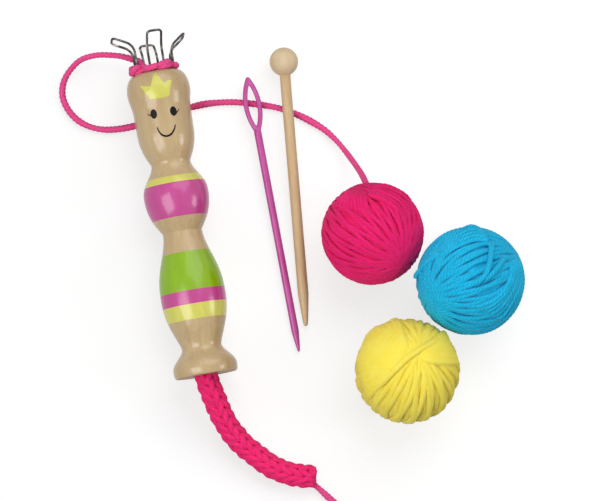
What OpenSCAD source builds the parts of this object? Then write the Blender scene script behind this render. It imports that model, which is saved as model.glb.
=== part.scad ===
// Knitting nancy: a turned wooden doll with wire loops in its head, the cord it knits and its working set.
// The doll lies on its back on the table: +Y runs from foot to head, +Z is up, and the table is at z = 0.
// The origin is on the table, under the middle of the set. All sizes are in millimetres.

/* [Doll lengths] */
// From the foot's end face to its widest ring
foot_low = 3.5; // [2:0.5:5]
// From the foot's widest ring to the ankle
foot_high = 11.5; // [9:0.5:14]
// From the ankle to the widest ring of the skirt
skirt_low = 26; // [20:1:32]
// From the widest ring of the skirt to the waist
skirt_high = 34.5; // [28:0.5:40]
// From the waist to the widest ring of the chest
chest_low = 19.5; // [15:0.5:24]
// From the widest ring of the chest to the neck
chest_high = 17; // [14:0.5:21]
// From the neck to the cheeks
face_low = 17; // [14:0.5:21]
// From the cheeks to the brow
face_high = 10; // [7:0.5:13]
// From the brow to the widest ring of the crown
brow_high = 11; // [8:0.5:14]
// From the widest ring of the crown to the flat top
crown_high = 10; // [7:0.5:13]

/* [Doll diameters] */
// Widest diameter of the foot
foot_d = 33.6; // [28:0.2:38]
// How far the foot's lower edge is rounded in
foot_edge = 0.9; // [0.4:0.1:2]
// Diameter at the ankle
ankle_d = 20.8; // [18:0.2:25]
// Widest diameter of the skirt
skirt_d = 34; // [29:0.2:39]
// Diameter at the waist
waist_d = 20.6; // [18:0.2:25]
// Widest diameter of the chest
chest_d = 34; // [29:0.2:39]
// Diameter at the neck
neck_d = 20.6; // [18:0.2:25]
// Diameter at the cheeks
cheek_d = 29.9; // [26:0.1:33]
// Diameter at the brow
brow_d = 30.2; // [26:0.1:33]
// Widest diameter of the crown
crown_d = 33.2; // [30:0.2:38]
// Diameter of the flat top
top_d = 22; // [18:0.5:27]

/* [Wire loops] */
// Diameter of the wire
wire_d = 1.3; // [1:0.1:2]
// Distance between the two legs of a loop, centre to centre
loop_width = 7.5; // [6:0.1:9]
// How deep the legs are driven into the head
loop_depth = 14; // [8:1:24]
// Clearance between a leg and its hole
leg_clearance = 0.05; // [0.02:0.01:0.1]
// How far the four loops are turned about the doll's axis, in degrees
loop_turn = 10; // [0:1:20]
// Radius of the outward bend, at the wire's centre
bend_r = 7; // [5:0.5:9]
// Radius of the two upper corners, at the wire's centre
corner_r = 2; // [1.2:0.1:2.6]
// Height of the front loop above the wood
front_height = 20.5; // [17:0.5:25]
// Outward reach of the front loop
front_reach = 8.5; // [6:0.5:11]
// Outward lean of the front loop's end, in degrees
front_lean = 50; // [35:1:65]
// Height of the right loop above the wood
right_height = 18.5; // [16:0.5:24]
// Outward reach of the right loop
right_reach = 8.2; // [6:0.2:11]
// Outward lean of the right loop's end, in degrees
right_lean = 53; // [40:1:65]
// How much further up one leg of the right loop bends than the other
right_twist = 2; // [0:0.2:4]
// Height of the back loop above the wood
back_height = 17.5; // [15:0.5:22]
// Outward reach of the back loop
back_reach = 5.5; // [4.5:0.1:6]
// Outward lean of the back loop's end, in degrees
back_lean = 40; // [30:1:50]
// Height of the left loop above the wood
left_height = 21; // [17:0.5:25]
// Outward reach of the left loop
left_reach = 10.5; // [7:0.5:11.5]
// Outward lean of the left loop's end, in degrees
left_lean = 64; // [45:1:68]
// How much further up one leg of the left loop bends than the other
left_twist = 2; // [0:0.2:4]

/* [Yarn and cord] */
// Diameter of the yarn
yarn_d = 3.2; // [2.4:0.1:4]
// Clearance of a stitch to the wire and to the wood
stitch_clearance = 0.1; // [0.05:0.05:0.3]
// Least distance between neighbouring stitches
stitch_gap = 0.3; // [0.2:0.1:1]
// Diameter of the knitted cord
cord_d = 13; // [10:0.5:15]
// Clearance between the knitted cord and the doll's bore
bore_clearance = 0.5; // [0.3:0.1:1]
// How far the cord inside the doll stops short of each end of the bore
bore_inset = 2; // [1:0.5:5]

/* [Yarn balls] */
// Diameter of the pink ball
pink_d = 54.2; // [44:0.2:60]
// Diameter of the blue ball
blue_d = 57.4; // [46:0.2:62]
// Diameter of the yellow ball
yellow_d = 56; // [46:0.2:62]
// Gap between neighbouring strands of a winding
strand_gap = 0.9; // [0.8:0.1:1.6]
// Clearance between a winding and its core
core_clearance = 0.2; // [0.1:0.05:0.5]

/* [Needle] */
// Length of the needle
needle_len = 146.7; // [120:0.1:170]
// Diameter of its shaft
needle_d = 4; // [3:0.1:4.6]
// Length of its tapered point
needle_point = 11; // [8:1:15]
// Diameter of its blunt end
needle_end_d = 1.2; // [0.8:0.1:1.6]
// Length of the eye, with its limbs
eye_len = 29.5; // [24:0.5:36]
// Widest gap of the eye
eye_gap = 4.4; // [4.2:0.1:5.4]
// Diameter of the limbs on both sides of the eye
limb_d = 2.6; // [2:0.2:3]

/* [Pick] */
// Distance from the pick's point to the centre of its bead
pick_len = 139; // [115:1:160]
// Diameter of its shaft
pick_d = 5.6; // [4.4:0.1:6.6]
// Length of its tapered point
pick_point = 17; // [12:1:24]
// Diameter of its blunt end
pick_end_d = 2.2; // [1.4:0.1:3]
// Diameter of its bead
bead_d = 15; // [13:0.2:18]
// Depth of the bead's hole
bead_hole = 10; // [7:0.5:12]
// Clearance between the shaft and the bead's hole
bead_clearance = 0.05; // [0.02:0.01:0.1]

/* [Layout] */
// Gap between the doll and the needle's point
needle_gap = 32.5; // [28:0.5:45]
// How far the needle's point lies above the doll's foot
needle_y = 4.6; // [0:0.2:20]
// Turn of the needle, in degrees
needle_turn = 1; // [-1:0.5:2]
// Distance from the needle's point to the pick's point
pick_gap = 5.8; // [5:0.2:9]
// How far the pick's point lies above the doll's foot
pick_y = 17.3; // [10:0.1:30]
// Turn of the pick, in degrees
pick_turn = -4.9; // [-7:0.1:-4]
// Gap between the pick's point and the pink ball
pink_gap = 14.6; // [12:0.2:24]
// How far the pink ball's centre lies above the doll's foot
pink_y = 57.2; // [50:0.2:65]
// Direction from the pink ball to the blue one, in degrees
blue_turn = -35.5; // [-60:0.5:-20]
// Direction from the blue ball to the yellow one, in degrees
yellow_turn = -134.5; // [-150:0.5:-110]
// Gap between neighbouring balls, and between the yarn and what lies on it
rest_gap = 0.4; // [0.3:0.05:1]

/* [Hidden] */
$fn = 48;

wood = [0.80, 0.68, 0.48];
pale_wood = [0.88, 0.78, 0.62];
steel = [0.45, 0.45, 0.46];
pink = [0.90, 0.12, 0.45];
blue = [0.08, 0.66, 0.86];
yellow = [0.97, 0.87, 0.22];
purple = [0.74, 0.24, 0.60];

// Places of the loops round the head, as angles about the doll's axis: 0 is the doll's left side, at +X
RIGHT = loop_turn;
BACK = 90 + loop_turn;
LEFT = 180 + loop_turn;
FRONT = 270 + loop_turn;

// The turned outline: each station has its distance to the next one, its radius and how early the curve
// then moves, where less than 1 is early and more than 1 is late
lathe_steps = 6;
stations = [
    [foot_high, foot_d / 2, 1.15],
    [skirt_low, ankle_d / 2, 0.65],
    [skirt_high, skirt_d / 2, 1.3],
    [chest_low, waist_d / 2, 0.55],
    [chest_high, chest_d / 2, 1.2],
    [face_low, neck_d / 2, 0.55],
    [face_high, cheek_d / 2, 1],
    [brow_high, brow_d / 2, 1],
    [crown_high, crown_d / 2, 1]
];
last_station = len(stations) - 1;
function station_y(i) = i == 0 ? foot_low : station_y(i - 1) + stations[i - 1][0];
crown_y = station_y(last_station);
body_len = crown_y + crown_high;
body_r = max(foot_d, skirt_d, chest_d, crown_d) / 2;
bore_d = cord_d + 2 * bore_clearance;

// The stitches of neighbouring loops just clear each other, which sets the ring that the loops stand on
wrap_r = wire_d / 2 + stitch_clearance + yarn_d / 2;
ring_r = loop_width / 2 + (2 * wrap_r + yarn_d + stitch_gap) / sqrt(2);

// Needle: its point lies on the table and its eye lies on the yarn
eye_rise = eye_gap / 2 + limb_d / 2;
eye_chord = eye_len - limb_d / 2;
eye_arc_r = (pow(eye_chord / 2, 2) + pow(eye_rise, 2)) / (2 * eye_rise);
eye_arc = 2 * asin(eye_chord / 2 / eye_arc_r);
needle_neck = needle_len - eye_len;
needle_on_yarn = needle_neck + eye_len / 2;
needle_tilt = asin((yarn_d + rest_gap + limb_d / 2 - needle_d / 2) / (needle_on_yarn - needle_point));
needle_z = needle_d / 2 - needle_point * sin(needle_tilt);

// Pick: its bead lies on the table, and so does the shaft where the point begins
pick_tilt = asin((bead_d - pick_d) / 2 / (pick_len - pick_point));
pick_z = pick_d / 2 - pick_point * sin(pick_tilt);
bead_hole_end = pick_len - bead_d / 2 + bead_hole;

// Layout on the table, measured from the centre of the doll's foot
needle_x = body_r + needle_gap;
pick_x = needle_x + pick_gap;
pink_at = [pick_x + pink_gap + pink_d / 2, pink_y, pink_d / 2];
blue_step = (pink_d + blue_d) / 2 + rest_gap;
blue_at = [pink_at.x + blue_step * cos(blue_turn), pink_at.y + blue_step * sin(blue_turn), blue_d / 2];
yellow_step = (blue_d + yellow_d) / 2 + rest_gap;
yellow_at = [
    blue_at.x + yellow_step * cos(yellow_turn), blue_at.y + yellow_step * sin(yellow_turn), yellow_d / 2
];
loops_left = (ring_r + left_reach) * cos(loop_turn) + loop_width / 2 * sin(loop_turn) + wire_d / 2;
set_left = -max(body_r, loops_left);
set_right = max(pink_at.x + pink_d / 2, blue_at.x + blue_d / 2, yellow_at.x + yellow_d / 2);
set_low = min(0, yellow_at.y - yellow_d / 2);
set_high = max(
    body_len + max(front_height, right_height, back_height, left_height),
    pick_y + (pick_len + bead_d / 2) * cos(pick_turn),
    needle_y + needle_len
);
middle = [(set_left + set_right) / 2, (set_low + set_high) / 2, 0];

// Knitted cord: x, y, and the share of the doll's axis height that it still has there
cord_route = [
    [0, bore_inset, 1], [0, -3, 1], [1.2, -9, 0.97], [2, -12.5, 0.91], [2.8, -16, 0.82], [3.8, -20, 0.7],
    [5, -24, 0.56], [7, -29, 0.4], [9.7, -34, 0.25], [13, -39, 0.13], [17, -43.5, 0.06], [23, -50, 0],
    [30, -55.3, 0], [37.5, -58.7, 0], [47.5, -61.4, 0]
];
cord_sides = 12;
// Yarn end of the cord: x, y and the height of its underside
tail_route = [
    [48.6, -63, 1.4], [48.7, -64.8, 0.8], [49, -66.8, 0.3], [49.7, -69.1, 0.1], [50.8, -71.4, 0],
    [52.3, -73.4, 0], [54, -75.2, 0], [56.1, -77.2, 0], [58.5, -79, 0], [61.1, -80.5, 0], [64, -81.5, 0],
    [67, -82.1, 0], [70, -82.3, 0], [73, -82.1, 0], [76, -81.5, 0]
];
// Working yarn, from the left loop to the pink ball: x, y, height of its underside, and how flat it lies
yarn_route = [
    [-9, 168.9, 9.2, 0], [-12.6, 170.7, 9.6, 0], [-17, 172.5, 10, 0], [-21.8, 173.8, 9.8, 0],
    [-26.8, 174.9, 8.8, 0], [-32.2, 175.3, 6.9, 0], [-37.9, 174.5, 4.2, 0], [-43, 171.5, 2, 0],
    [-47, 167.5, 0.7, 0], [-49.5, 162.7, 0.1, 0],
    [-50.3, 157.8, 0, 0], [-49.4, 152.5, 0, 0], [-47, 147.3, 0, 0], [-43.5, 143, 0, 0], [-38.8, 139.6, 0, 0],
    [-32.3, 137, 0, 0], [-24.5, 135.9, 0, 0], [-16.6, 136, 0, 0], [-10, 136.8, 0, 0.1], [-5.5, 137.5, 0, 0.6],
    [-2, 138.1, 0, 1], [2, 138.8, 0, 1], [5.5, 139.5, 0, 0.6], [10, 140.3, 0, 0.1], [15.5, 140.9, 0, 0],
    [22.8, 141.3, 0, 0], [30.7, 140.8, 0, 0], [38.5, 139.6, 0, 0], [45, 137.9, 0, 0], [52.2, 135.8, 0, 0],
    [61.1, 132.4, 0, 0], [69.3, 127.8, 0, 0], [76.4, 122.6, 0, 0], [82.8, 116.7, 0.1, 0], [87.6, 110.2, 1.2, 0],
    [91.1, 103.7, 4, 0], [93.8, 97.8, 8.1, 0], [95.7, 93, 12.9, 0], [97, 89, 17.7, 0], [97.9, 85.1, 22.2, 0]
];
yarn_sides = 8;
// A pressed stretch of yarn loses this share of its height and gains this share of its width
press_height = 0.5;
press_width = 0.45;

// Wire: its sides, and the steps of its outward bend and of its corners
wire_sides = 10;
bend_steps = 6;
corner_steps = 4;

// Windings: rings along each loop, sides of the strand, and the angle that stays bare round each pole
loop_rings = 14;
strand_sides = 6;
bare_pole = 15;
pole_pull = 0.5;
// Axis of each winding: its lean from the table and its turn on it, in degrees
pink_axis = [20, 35];
blue_axis = [25, 117];
yellow_axis = [30, -8];

function unit(v) = v / norm(v);
function tangent(path, i) = unit(path[min(i + 1, len(path) - 1)] - path[max(i - 1, 0)]);
function ease(from, to, t) = from + (to - from) * (1 - cos(180 * t)) / 2;

// Points of the turned outline, from the foot's lower edge to the rim of the flat top
function foot_points() = [
    for (k = [0 : lathe_steps - 1])
        let (a = 90 * k / lathe_steps)
            [foot_d / 2 - foot_edge * (1 - sin(a)), foot_low * (1 - cos(a))]
];
function stretch_points(i) = [
    for (k = [0 : lathe_steps - 1])
        let (t = k / lathe_steps)
            [
                ease(stations[i][1], stations[i + 1][1], pow(t, stations[i][2])),
                station_y(i) + t * stations[i][0]
            ]
];
function crown_points() = [
    for (k = [0 : lathe_steps])
        let (a = 90 * k / lathe_steps)
            [top_d / 2 + (crown_d - top_d) / 2 * cos(a), crown_y + crown_high * sin(a)]
];
function outline() = concat(
    [[0, 0]],
    foot_points(),
    [for (i = [0 : last_station - 1]) each stretch_points(i)],
    crown_points(),
    [[0, body_len]]
);

// One ring of a tube: side and lift span the cross-section, which is wide by high at its half axes
function ring(path, i, up, wide, high, sides) =
    let (t = tangent(path, i), side = unit(cross(t, up)), lift = cross(side, t))
        [
            for (k = [0 : sides - 1])
                let (a = 360 * k / sides)
                    path[i] + side * wide * cos(a) + lift * high * sin(a)
        ];

function tube_faces(rings, sides) = concat(
    [for (k = [1 : sides - 2]) [0, k + 1, k]],
    [
        for (i = [0 : rings - 2], k = [0 : sides - 1])
            let (a = i * sides + k, b = i * sides + (k + 1) % sides)
                each [[a, b, b + sides], [a, b + sides, a + sides]]
    ],
    [for (k = [1 : sides - 2]) [0, k, k + 1] + [1, 1, 1] * (rings - 1) * sides]
);

// Stops of half a wire loop, from its end in the wood to its top: the point, and the lean there
function half_loop(rise, tip, lean, side) =
    let (
        leg = side * loop_width / 2,
        bend_end = [bend_r * (1 - cos(lean)), 0, rise + bend_r * sin(lean)],
        ahead = [sin(lean), 0, cos(lean)],
        straight = tip - corner_r
    )
        concat(
            [[[0, leg, -loop_depth], 0]],
            [
                for (k = [0 : bend_steps])
                    let (a = lean * k / bend_steps)
                        [[bend_r * (1 - cos(a)), leg, rise + bend_r * sin(a)], a]
            ],
            [
                for (k = [0 : corner_steps])
                    let (a = 90 * k / corner_steps)
                        [
                            bend_end + ahead * (straight + corner_r * sin(a))
                                + [0, leg - side * corner_r * (1 - cos(a)), 0],
                            lean
                        ]
            ]
        );
function reverse(list) = [for (i = [len(list) - 1 : -1 : 0]) list[i]];

// A winding runs from pole to pole of its ball, and its straight ends are pulled a little towards the poles
function winding_radius(d) = (d - yarn_d) / 2;
function winding_loops(d) =
    floor(winding_radius(d) * (180 - 2 * bare_pole) * PI / 180 / (yarn_d + strand_gap));
function winding_point(d, t) =
    let (polar = bare_pole + (180 - 2 * bare_pole) * t, around = 360 * winding_loops(d) * t)
        winding_radius(d) * [sin(polar) * cos(around), sin(polar) * sin(around), cos(polar)];
function winding_turns(d) =
    let (last = winding_loops(d) * loop_rings)
        [for (i = [0 : last]) winding_point(d, i / last)];
function end_lead(end, next) = unit(unit(end - next) - pole_pull * unit([end.x, end.y, 0]));
function winding_path(d) =
    let (turns = winding_turns(d), last = len(turns) - 1)
        concat(
            [turns[0] + yarn_d * end_lead(turns[0], turns[1])],
            turns,
            [turns[last] + yarn_d * end_lead(turns[last], turns[last - 1])]
        );
function least_gap(path) = min([
    for (i = [0 : len(path) - 1 - loop_rings / 2], j = [i + loop_rings / 2 : len(path) - 1])
        norm(path[i] - path[j])
]) - yarn_d;

module on_table() {
    translate(-middle) children();
}

// The doll's own frame: its axis along Z from the foot, its face towards -Y
module on_doll() {
    on_table() translate([0, 0, body_r]) rotate([-90, 0, 0]) children();
}

module tube(path, sections, sides) {
    points = [
        for (i = [0 : len(path) - 1])
            each ring(path, i, [0, 0, 1], sections[i][0], sections[i][1], sides)
    ];
    polyhedron(points, tube_faces(len(path), sides));
}

module wooden_body() {
    hole_d = wire_d + 2 * leg_clearance;
    hole_depth = loop_depth + leg_clearance;
    color(wood) on_doll() difference() {
        rotate_extrude() polygon(outline());
        translate([0, 0, -1]) cylinder(d = bore_d, h = body_len + 2);
        for (a = [RIGHT, BACK, LEFT, FRONT], side = [-1, 1])
            rotate(a) translate([ring_r, side * loop_width / 2, body_len - hole_depth])
                cylinder(d = hole_d, h = hole_depth + 1);
    }
}

// One loop is a single bent wire: up one leg, over the top and down the other leg
module wire_loop(angle, height, reach, lean, twist = 0) {
    tip = (reach - bend_r * (1 - cos(lean))) / sin(lean);
    skew = twist / loop_width;
    top_skew = abs(skew) * (loop_width / 2 - corner_r);
    rise = height - wire_d / 2 - bend_r * sin(lean) - tip * cos(lean) - top_skew;
    stops = concat(half_loop(rise, tip, lean, 1), reverse(half_loop(rise, tip, lean, -1)));
    path = [for (stop = stops) stop[0] + [0, 0, stop[0].z > 0 ? skew * stop[0].y : 0]];
    rings = [
        for (i = [0 : len(path) - 1])
            each ring(path, i, [cos(stops[i][1]), 0, -sin(stops[i][1])], wire_d / 2, wire_d / 2, wire_sides)
    ];
    color(steel) on_doll() rotate(angle) translate([ring_r, 0, body_len])
        polyhedron(rings, tube_faces(len(path), wire_sides));
}

module wire_loop_front() {
    wire_loop(FRONT, front_height, front_reach, front_lean);
}

module wire_loop_right() {
    wire_loop(RIGHT, right_height, right_reach, right_lean, -right_twist);
}

module wire_loop_back() {
    wire_loop(BACK, back_height, back_reach, back_lean);
}

module wire_loop_left() {
    wire_loop(LEFT, left_height, left_reach, left_lean, left_twist);
}

// One yarn stitch, laid round both legs of a loop and resting on the wood
module stitch(angle) {
    color(pink) on_doll() rotate(angle) translate([ring_r, 0, body_len + stitch_clearance + yarn_d / 2]) {
        for (turn = [0, 180]) rotate(turn) {
            translate([0, loop_width / 2, 0])
                rotate_extrude(angle = 180) translate([wrap_r, 0]) circle(d = yarn_d);
            translate([wrap_r, 0, 0]) rotate([90, 0, 0]) cylinder(d = yarn_d, h = loop_width, center = true);
        }
    }
}

module stitch_front() {
    stitch(FRONT);
}

module stitch_right() {
    stitch(RIGHT);
}

module stitch_back() {
    stitch(BACK);
}

module stitch_left() {
    stitch(LEFT);
}

module cord_in_bore() {
    color(pink) on_doll() translate([0, 0, bore_inset]) cylinder(d = cord_d, h = body_len - 2 * bore_inset);
}

module knitted_cord() {
    path = [for (p = cord_route) [p[0], p[1], cord_d / 2 + (body_r - cord_d / 2) * p[2]]];
    color(pink) on_table() tube(path, [for (p = path) [cord_d, cord_d] / 2], cord_sides);
}

module cord_tail() {
    path = [for (p = tail_route) [p[0], p[1], p[2] + yarn_d / 2]];
    color(pink) on_table() tube(path, [for (p = path) [yarn_d, yarn_d] / 2], yarn_sides);
}

module working_yarn() {
    sections = [for (p = yarn_route) [1 + press_width * p[3], 1 - press_height * p[3]] * yarn_d / 2];
    path = [for (i = [0 : len(yarn_route) - 1])
        [yarn_route[i][0], yarn_route[i][1], yarn_route[i][2] + sections[i][1]]];
    color(pink) on_table() tube(path, sections, yarn_sides);
}

// Plain core of a ball, inside the flat chords of its winding
module core(at, d) {
    chord_r = winding_radius(d) * cos(180 / loop_rings);
    on_table() translate(at) sphere(r = chord_r - yarn_d / 2 - core_clearance);
}

// Outer layer of a ball: one strand wound about an axis that is leant from the table and turned on it
module winding(at, d, axis) {
    path = winding_path(d);
    rings = [for (i = [0 : len(path) - 1]) each ring(path, i, path[i], yarn_d / 2, yarn_d / 2, strand_sides)];
    echo(str("least gap of a winding to itself: ", least_gap(path), " mm"));
    on_table() translate(at) rotate([0, 90 - axis[0], axis[1]])
        polyhedron(rings, tube_faces(len(path), strand_sides));
}

module pink_core() {
    color(pink) core(pink_at, pink_d);
}

module pink_winding() {
    color(pink) winding(pink_at, pink_d, pink_axis);
}

module blue_core() {
    color(blue) core(blue_at, blue_d);
}

module blue_winding() {
    color(blue) winding(blue_at, blue_d, blue_axis);
}

module yellow_core() {
    color(yellow) core(yellow_at, yellow_d);
}

module yellow_winding() {
    color(yellow) winding(yellow_at, yellow_d, yellow_axis);
}

// One limb of the needle's eye, bulging towards +X
module eye_limb() {
    translate([eye_rise - eye_arc_r, 0, needle_neck + eye_chord / 2]) rotate([90, 0, 0]) rotate(-eye_arc / 2)
        rotate_extrude(angle = eye_arc) translate([eye_arc_r, 0]) circle(d = limb_d);
}

module yarn_needle() {
    shaft = [
        [0, 0], [needle_end_d / 2, 0], [needle_d / 2, needle_point], [needle_d / 2, needle_neck],
        [0, needle_neck]
    ];
    color(purple) on_table() translate([needle_x, needle_y, needle_z]) rotate([needle_tilt, 0, needle_turn])
        rotate([-90, 0, 0]) {
            rotate_extrude() polygon(shaft);
            translate([0, 0, needle_neck]) sphere(d = needle_d);
            for (side = [0, 1]) mirror([side, 0, 0]) eye_limb();
            translate([0, 0, needle_neck + eye_chord]) sphere(d = limb_d);
        }
}

module on_pick() {
    on_table() translate([pick_x, pick_y, pick_z]) rotate([pick_tilt, 0, pick_turn])
        rotate([-90, 0, 0]) children();
}

module pick_shaft() {
    shaft_end = bead_hole_end - bead_clearance;
    shaft = [
        [0, 0], [pick_end_d / 2, 0], [pick_d / 2, pick_point], [pick_d / 2, shaft_end], [0, shaft_end]
    ];
    color(wood) on_pick() rotate_extrude() polygon(shaft);
}

module pick_bead() {
    hole_d = pick_d + 2 * bead_clearance;
    color(pale_wood) on_pick() difference() {
        translate([0, 0, pick_len]) sphere(d = bead_d);
        translate([0, 0, bead_hole_end - bead_d]) cylinder(d = hole_d, h = bead_d);
    }
}

wooden_body();
wire_loop_front();
wire_loop_right();
wire_loop_back();
wire_loop_left();
stitch_front();
stitch_right();
stitch_back();
stitch_left();
cord_in_bore();
knitted_cord();
cord_tail();
working_yarn();
pink_core();
pink_winding();
blue_core();
blue_winding();
yellow_core();
yellow_winding();
yarn_needle();
pick_shaft();
pick_bead();
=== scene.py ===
"""Looks of a knitting nancy and its working set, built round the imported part.

The doll lies on its back: +Y runs from its foot to its head and +Z is up. Sizes are fields in
millimetres, measured from the middle of the doll's foot on the table, and become metres in a mesh.
"""

import logging
import math
from dataclasses import dataclass, field
from enum import Enum, IntEnum
from functools import cache
from typing import Sequence

import bpy
import numpy as np
from mathutils import Matrix, Vector


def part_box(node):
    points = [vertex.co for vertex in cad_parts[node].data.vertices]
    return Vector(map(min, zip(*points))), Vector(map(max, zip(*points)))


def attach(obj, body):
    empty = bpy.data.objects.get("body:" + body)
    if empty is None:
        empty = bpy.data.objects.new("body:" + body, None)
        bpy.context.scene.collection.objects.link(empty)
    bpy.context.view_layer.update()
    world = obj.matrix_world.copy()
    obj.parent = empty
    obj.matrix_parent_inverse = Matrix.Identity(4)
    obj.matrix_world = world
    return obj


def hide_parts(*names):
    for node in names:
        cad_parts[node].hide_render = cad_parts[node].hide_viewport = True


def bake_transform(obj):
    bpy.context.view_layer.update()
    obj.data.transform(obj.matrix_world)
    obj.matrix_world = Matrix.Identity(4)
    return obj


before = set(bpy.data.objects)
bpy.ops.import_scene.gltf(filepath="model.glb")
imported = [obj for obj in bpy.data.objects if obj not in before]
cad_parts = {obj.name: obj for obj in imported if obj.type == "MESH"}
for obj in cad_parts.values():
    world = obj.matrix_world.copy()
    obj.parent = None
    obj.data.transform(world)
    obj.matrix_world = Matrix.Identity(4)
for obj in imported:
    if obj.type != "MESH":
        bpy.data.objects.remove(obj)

MM = 0.001
FULL_TURN = 2 * math.pi
QUARTER = math.pi / 2
X_AXIS, Y_AXIS, Z_AXIS = np.eye(3)
WHITE = (1.0, 1.0, 1.0, 1.0)
LOG = logging.getLogger("knitting_nancy")

# Turn and height of the photograph's camera, in degrees
VIEW_TURN = -9.66
VIEW_RISE = 85.4

# Points between two spots of a smooth curve, and the radius at which a rounded end closes
CURVE_STEPS = 24
CLOSED_RADIUS = 0.05

Array = np.ndarray
Axes = tuple[Array, Array]
Colour = tuple[int, int, int]
Pair = tuple[float, float]
Spot = tuple[float, float, float]
Pressed = tuple[float, float, float, float]
Material = bpy.types.Material
Piece = bpy.types.Object
Socket = bpy.types.NodeSocket
Tree = bpy.types.NodeTree


class Body(Enum):
    """Moving bodies of the part."""

    DOLL = "doll"
    CORD = "cord"
    NEEDLE = "needle"
    PICK = "pick"
    BLUE_BALL = "blue_ball"
    YELLOW_BALL = "yellow_ball"


class Slot(Enum):
    """Material slots of the record."""

    WOOD = "wood"
    PICK_WOOD = "pick_wood"
    BEAD_WOOD = "bead_wood"
    WIRE = "wire"
    PINK_YARN = "pink_yarn"
    BLUE_YARN = "blue_yarn"
    YELLOW_YARN = "yellow_yarn"
    PLASTIC = "needle_plastic"


class Paint(IntEnum):
    """Material numbers on the doll's body."""

    WOOD = 0
    YELLOW = 1
    MAGENTA = 2
    GREEN = 3
    BARE_WOOD = 4


class FarEnd(Enum):
    """What a cord ends in."""

    KNOT = "knot"
    BARE = "bare"
    OBJECT = "object"


# Curves and frames


def unit(vectors: Array) -> Array:
    """Scales each vector of an array to length one."""
    return vectors / np.linalg.norm(vectors, axis=-1, keepdims=True)


def turned(degrees: float) -> Array:
    """Gives the flat unit vector at an angle from +X."""
    a = math.radians(degrees)
    return np.array([math.cos(a), math.sin(a), 0.0])


def pointing(turn: float, rise: float) -> Array:
    """Gives the unit vector at a turn from +X and a rise over the level, in degrees."""
    a = math.radians(rise)
    return turned(turn) * math.cos(a) + Z_AXIS * math.sin(a)


def view_axes() -> tuple[Array, Array, Array]:
    """Finds the directions of the photograph's view.

    Returns:
        The directions to the right, up and towards the camera.
    """
    right = turned(VIEW_TURN)
    toward = pointing(VIEW_TURN - 90, VIEW_RISE)
    return right, np.cross(toward, right), toward


def ring_angles(count: int) -> Array:
    """Spaces angles evenly round a ring."""
    return np.linspace(0.0, FULL_TURN, count, endpoint=False)


def spokes(angle: Array, first: Array, second: Array) -> Array:
    """Gives the direction at each angle from a first direction towards a second."""
    return np.cos(angle)[..., None] * first + np.sin(angle)[..., None] * second


def run_of(path: Array) -> Array:
    """Measures the length along a path up to each of its points."""
    steps = np.linalg.norm(np.diff(path[:, :3], axis=0), axis=1)
    return np.concatenate([[0.0], np.cumsum(steps)])


def between(places: Array, run: Array, rows: Array) -> Array:
    """Reads each column of a row of points at places along its run."""
    return np.stack([np.interp(places, run, column) for column in rows.T], axis=1)


def even(path: Array, step: float) -> Array:
    """Spaces the points of a path evenly.

    Args:
        path: Points, with any further columns carried along.
        step: Wanted distance between points, in millimetres.

    Returns:
        The same path with evenly spaced points.
    """
    run = run_of(path)
    count = max(2, int(round(run[-1] / step)) + 1)
    return between(np.linspace(0.0, run[-1], count), run, path)


def smooth(points: Sequence[Sequence[float]], step: float) -> Array:
    """Runs one smooth curve through given points.

    Args:
        points: Points, with any further columns carried along.
        step: Distance between the points of the curve, in millimetres.

    Returns:
        Evenly spaced points on the curve.
    """
    stops = np.asarray(points, float)
    knots = run_of(stops)
    slopes = np.gradient(stops, knots, axis=0)
    t = np.linspace(0.0, 1.0, CURVE_STEPS, endpoint=False)[:, None]
    parts = []
    for i, span in enumerate(np.diff(knots)):
        parts.append(
            (1 + 2 * t) * (1 - t) ** 2 * stops[i]
            + t * (1 - t) ** 2 * span * slopes[i]
            + t**2 * (3 - 2 * t) * stops[i + 1]
            + t**2 * (t - 1) * span * slopes[i + 1]
        )
    return even(np.concatenate([*parts, stops[-1:]]), step)


def frames(path: Array, up: Array) -> Axes:
    """Finds the two directions that span the cross-section at each point of a path.

    Args:
        path: Points of the path.
        up: One direction, or one for each point, that the section's second axis keeps to.

    Returns:
        The sideways and the upward unit vectors.
    """
    ahead = unit(np.gradient(path, axis=0))
    side = unit(np.cross(ahead, np.broadcast_to(up, path.shape)))
    return side, np.cross(side, ahead)


def carried_frames(path: Array, up: Array) -> Axes:
    """Carries a cross-section along a path without twisting it.

    Args:
        path: Points of the path.
        up: Upward direction at the first point.

    Returns:
        The sideways and the upward unit vectors.
    """
    ahead = unit(np.gradient(path, axis=0))
    lifts = []
    lift = np.asarray(up, float)
    for direction in ahead:
        lift = unit(lift - direction * np.dot(lift, direction))
        lifts.append(lift)
    lifts = np.array(lifts)
    return np.cross(ahead, lifts), lifts


def wander(count: int, waves: int, seed: int) -> Array:
    """Makes a smooth uneven line between about -1 and 1.

    Args:
        count: Number of values.
        waves: Number of its swings.
        seed: Seed of the random numbers.

    Returns:
        The values.
    """
    stops = np.random.default_rng(seed).uniform(-1.0, 1.0, waves + 3)
    place = np.linspace(1.0, waves + 1.0, count)
    left = place.astype(int)
    t = place - left
    t = t * t * (3 - 2 * t)
    return stops[left] * (1 - t) + stops[left + 1] * t


# Meshes


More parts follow.
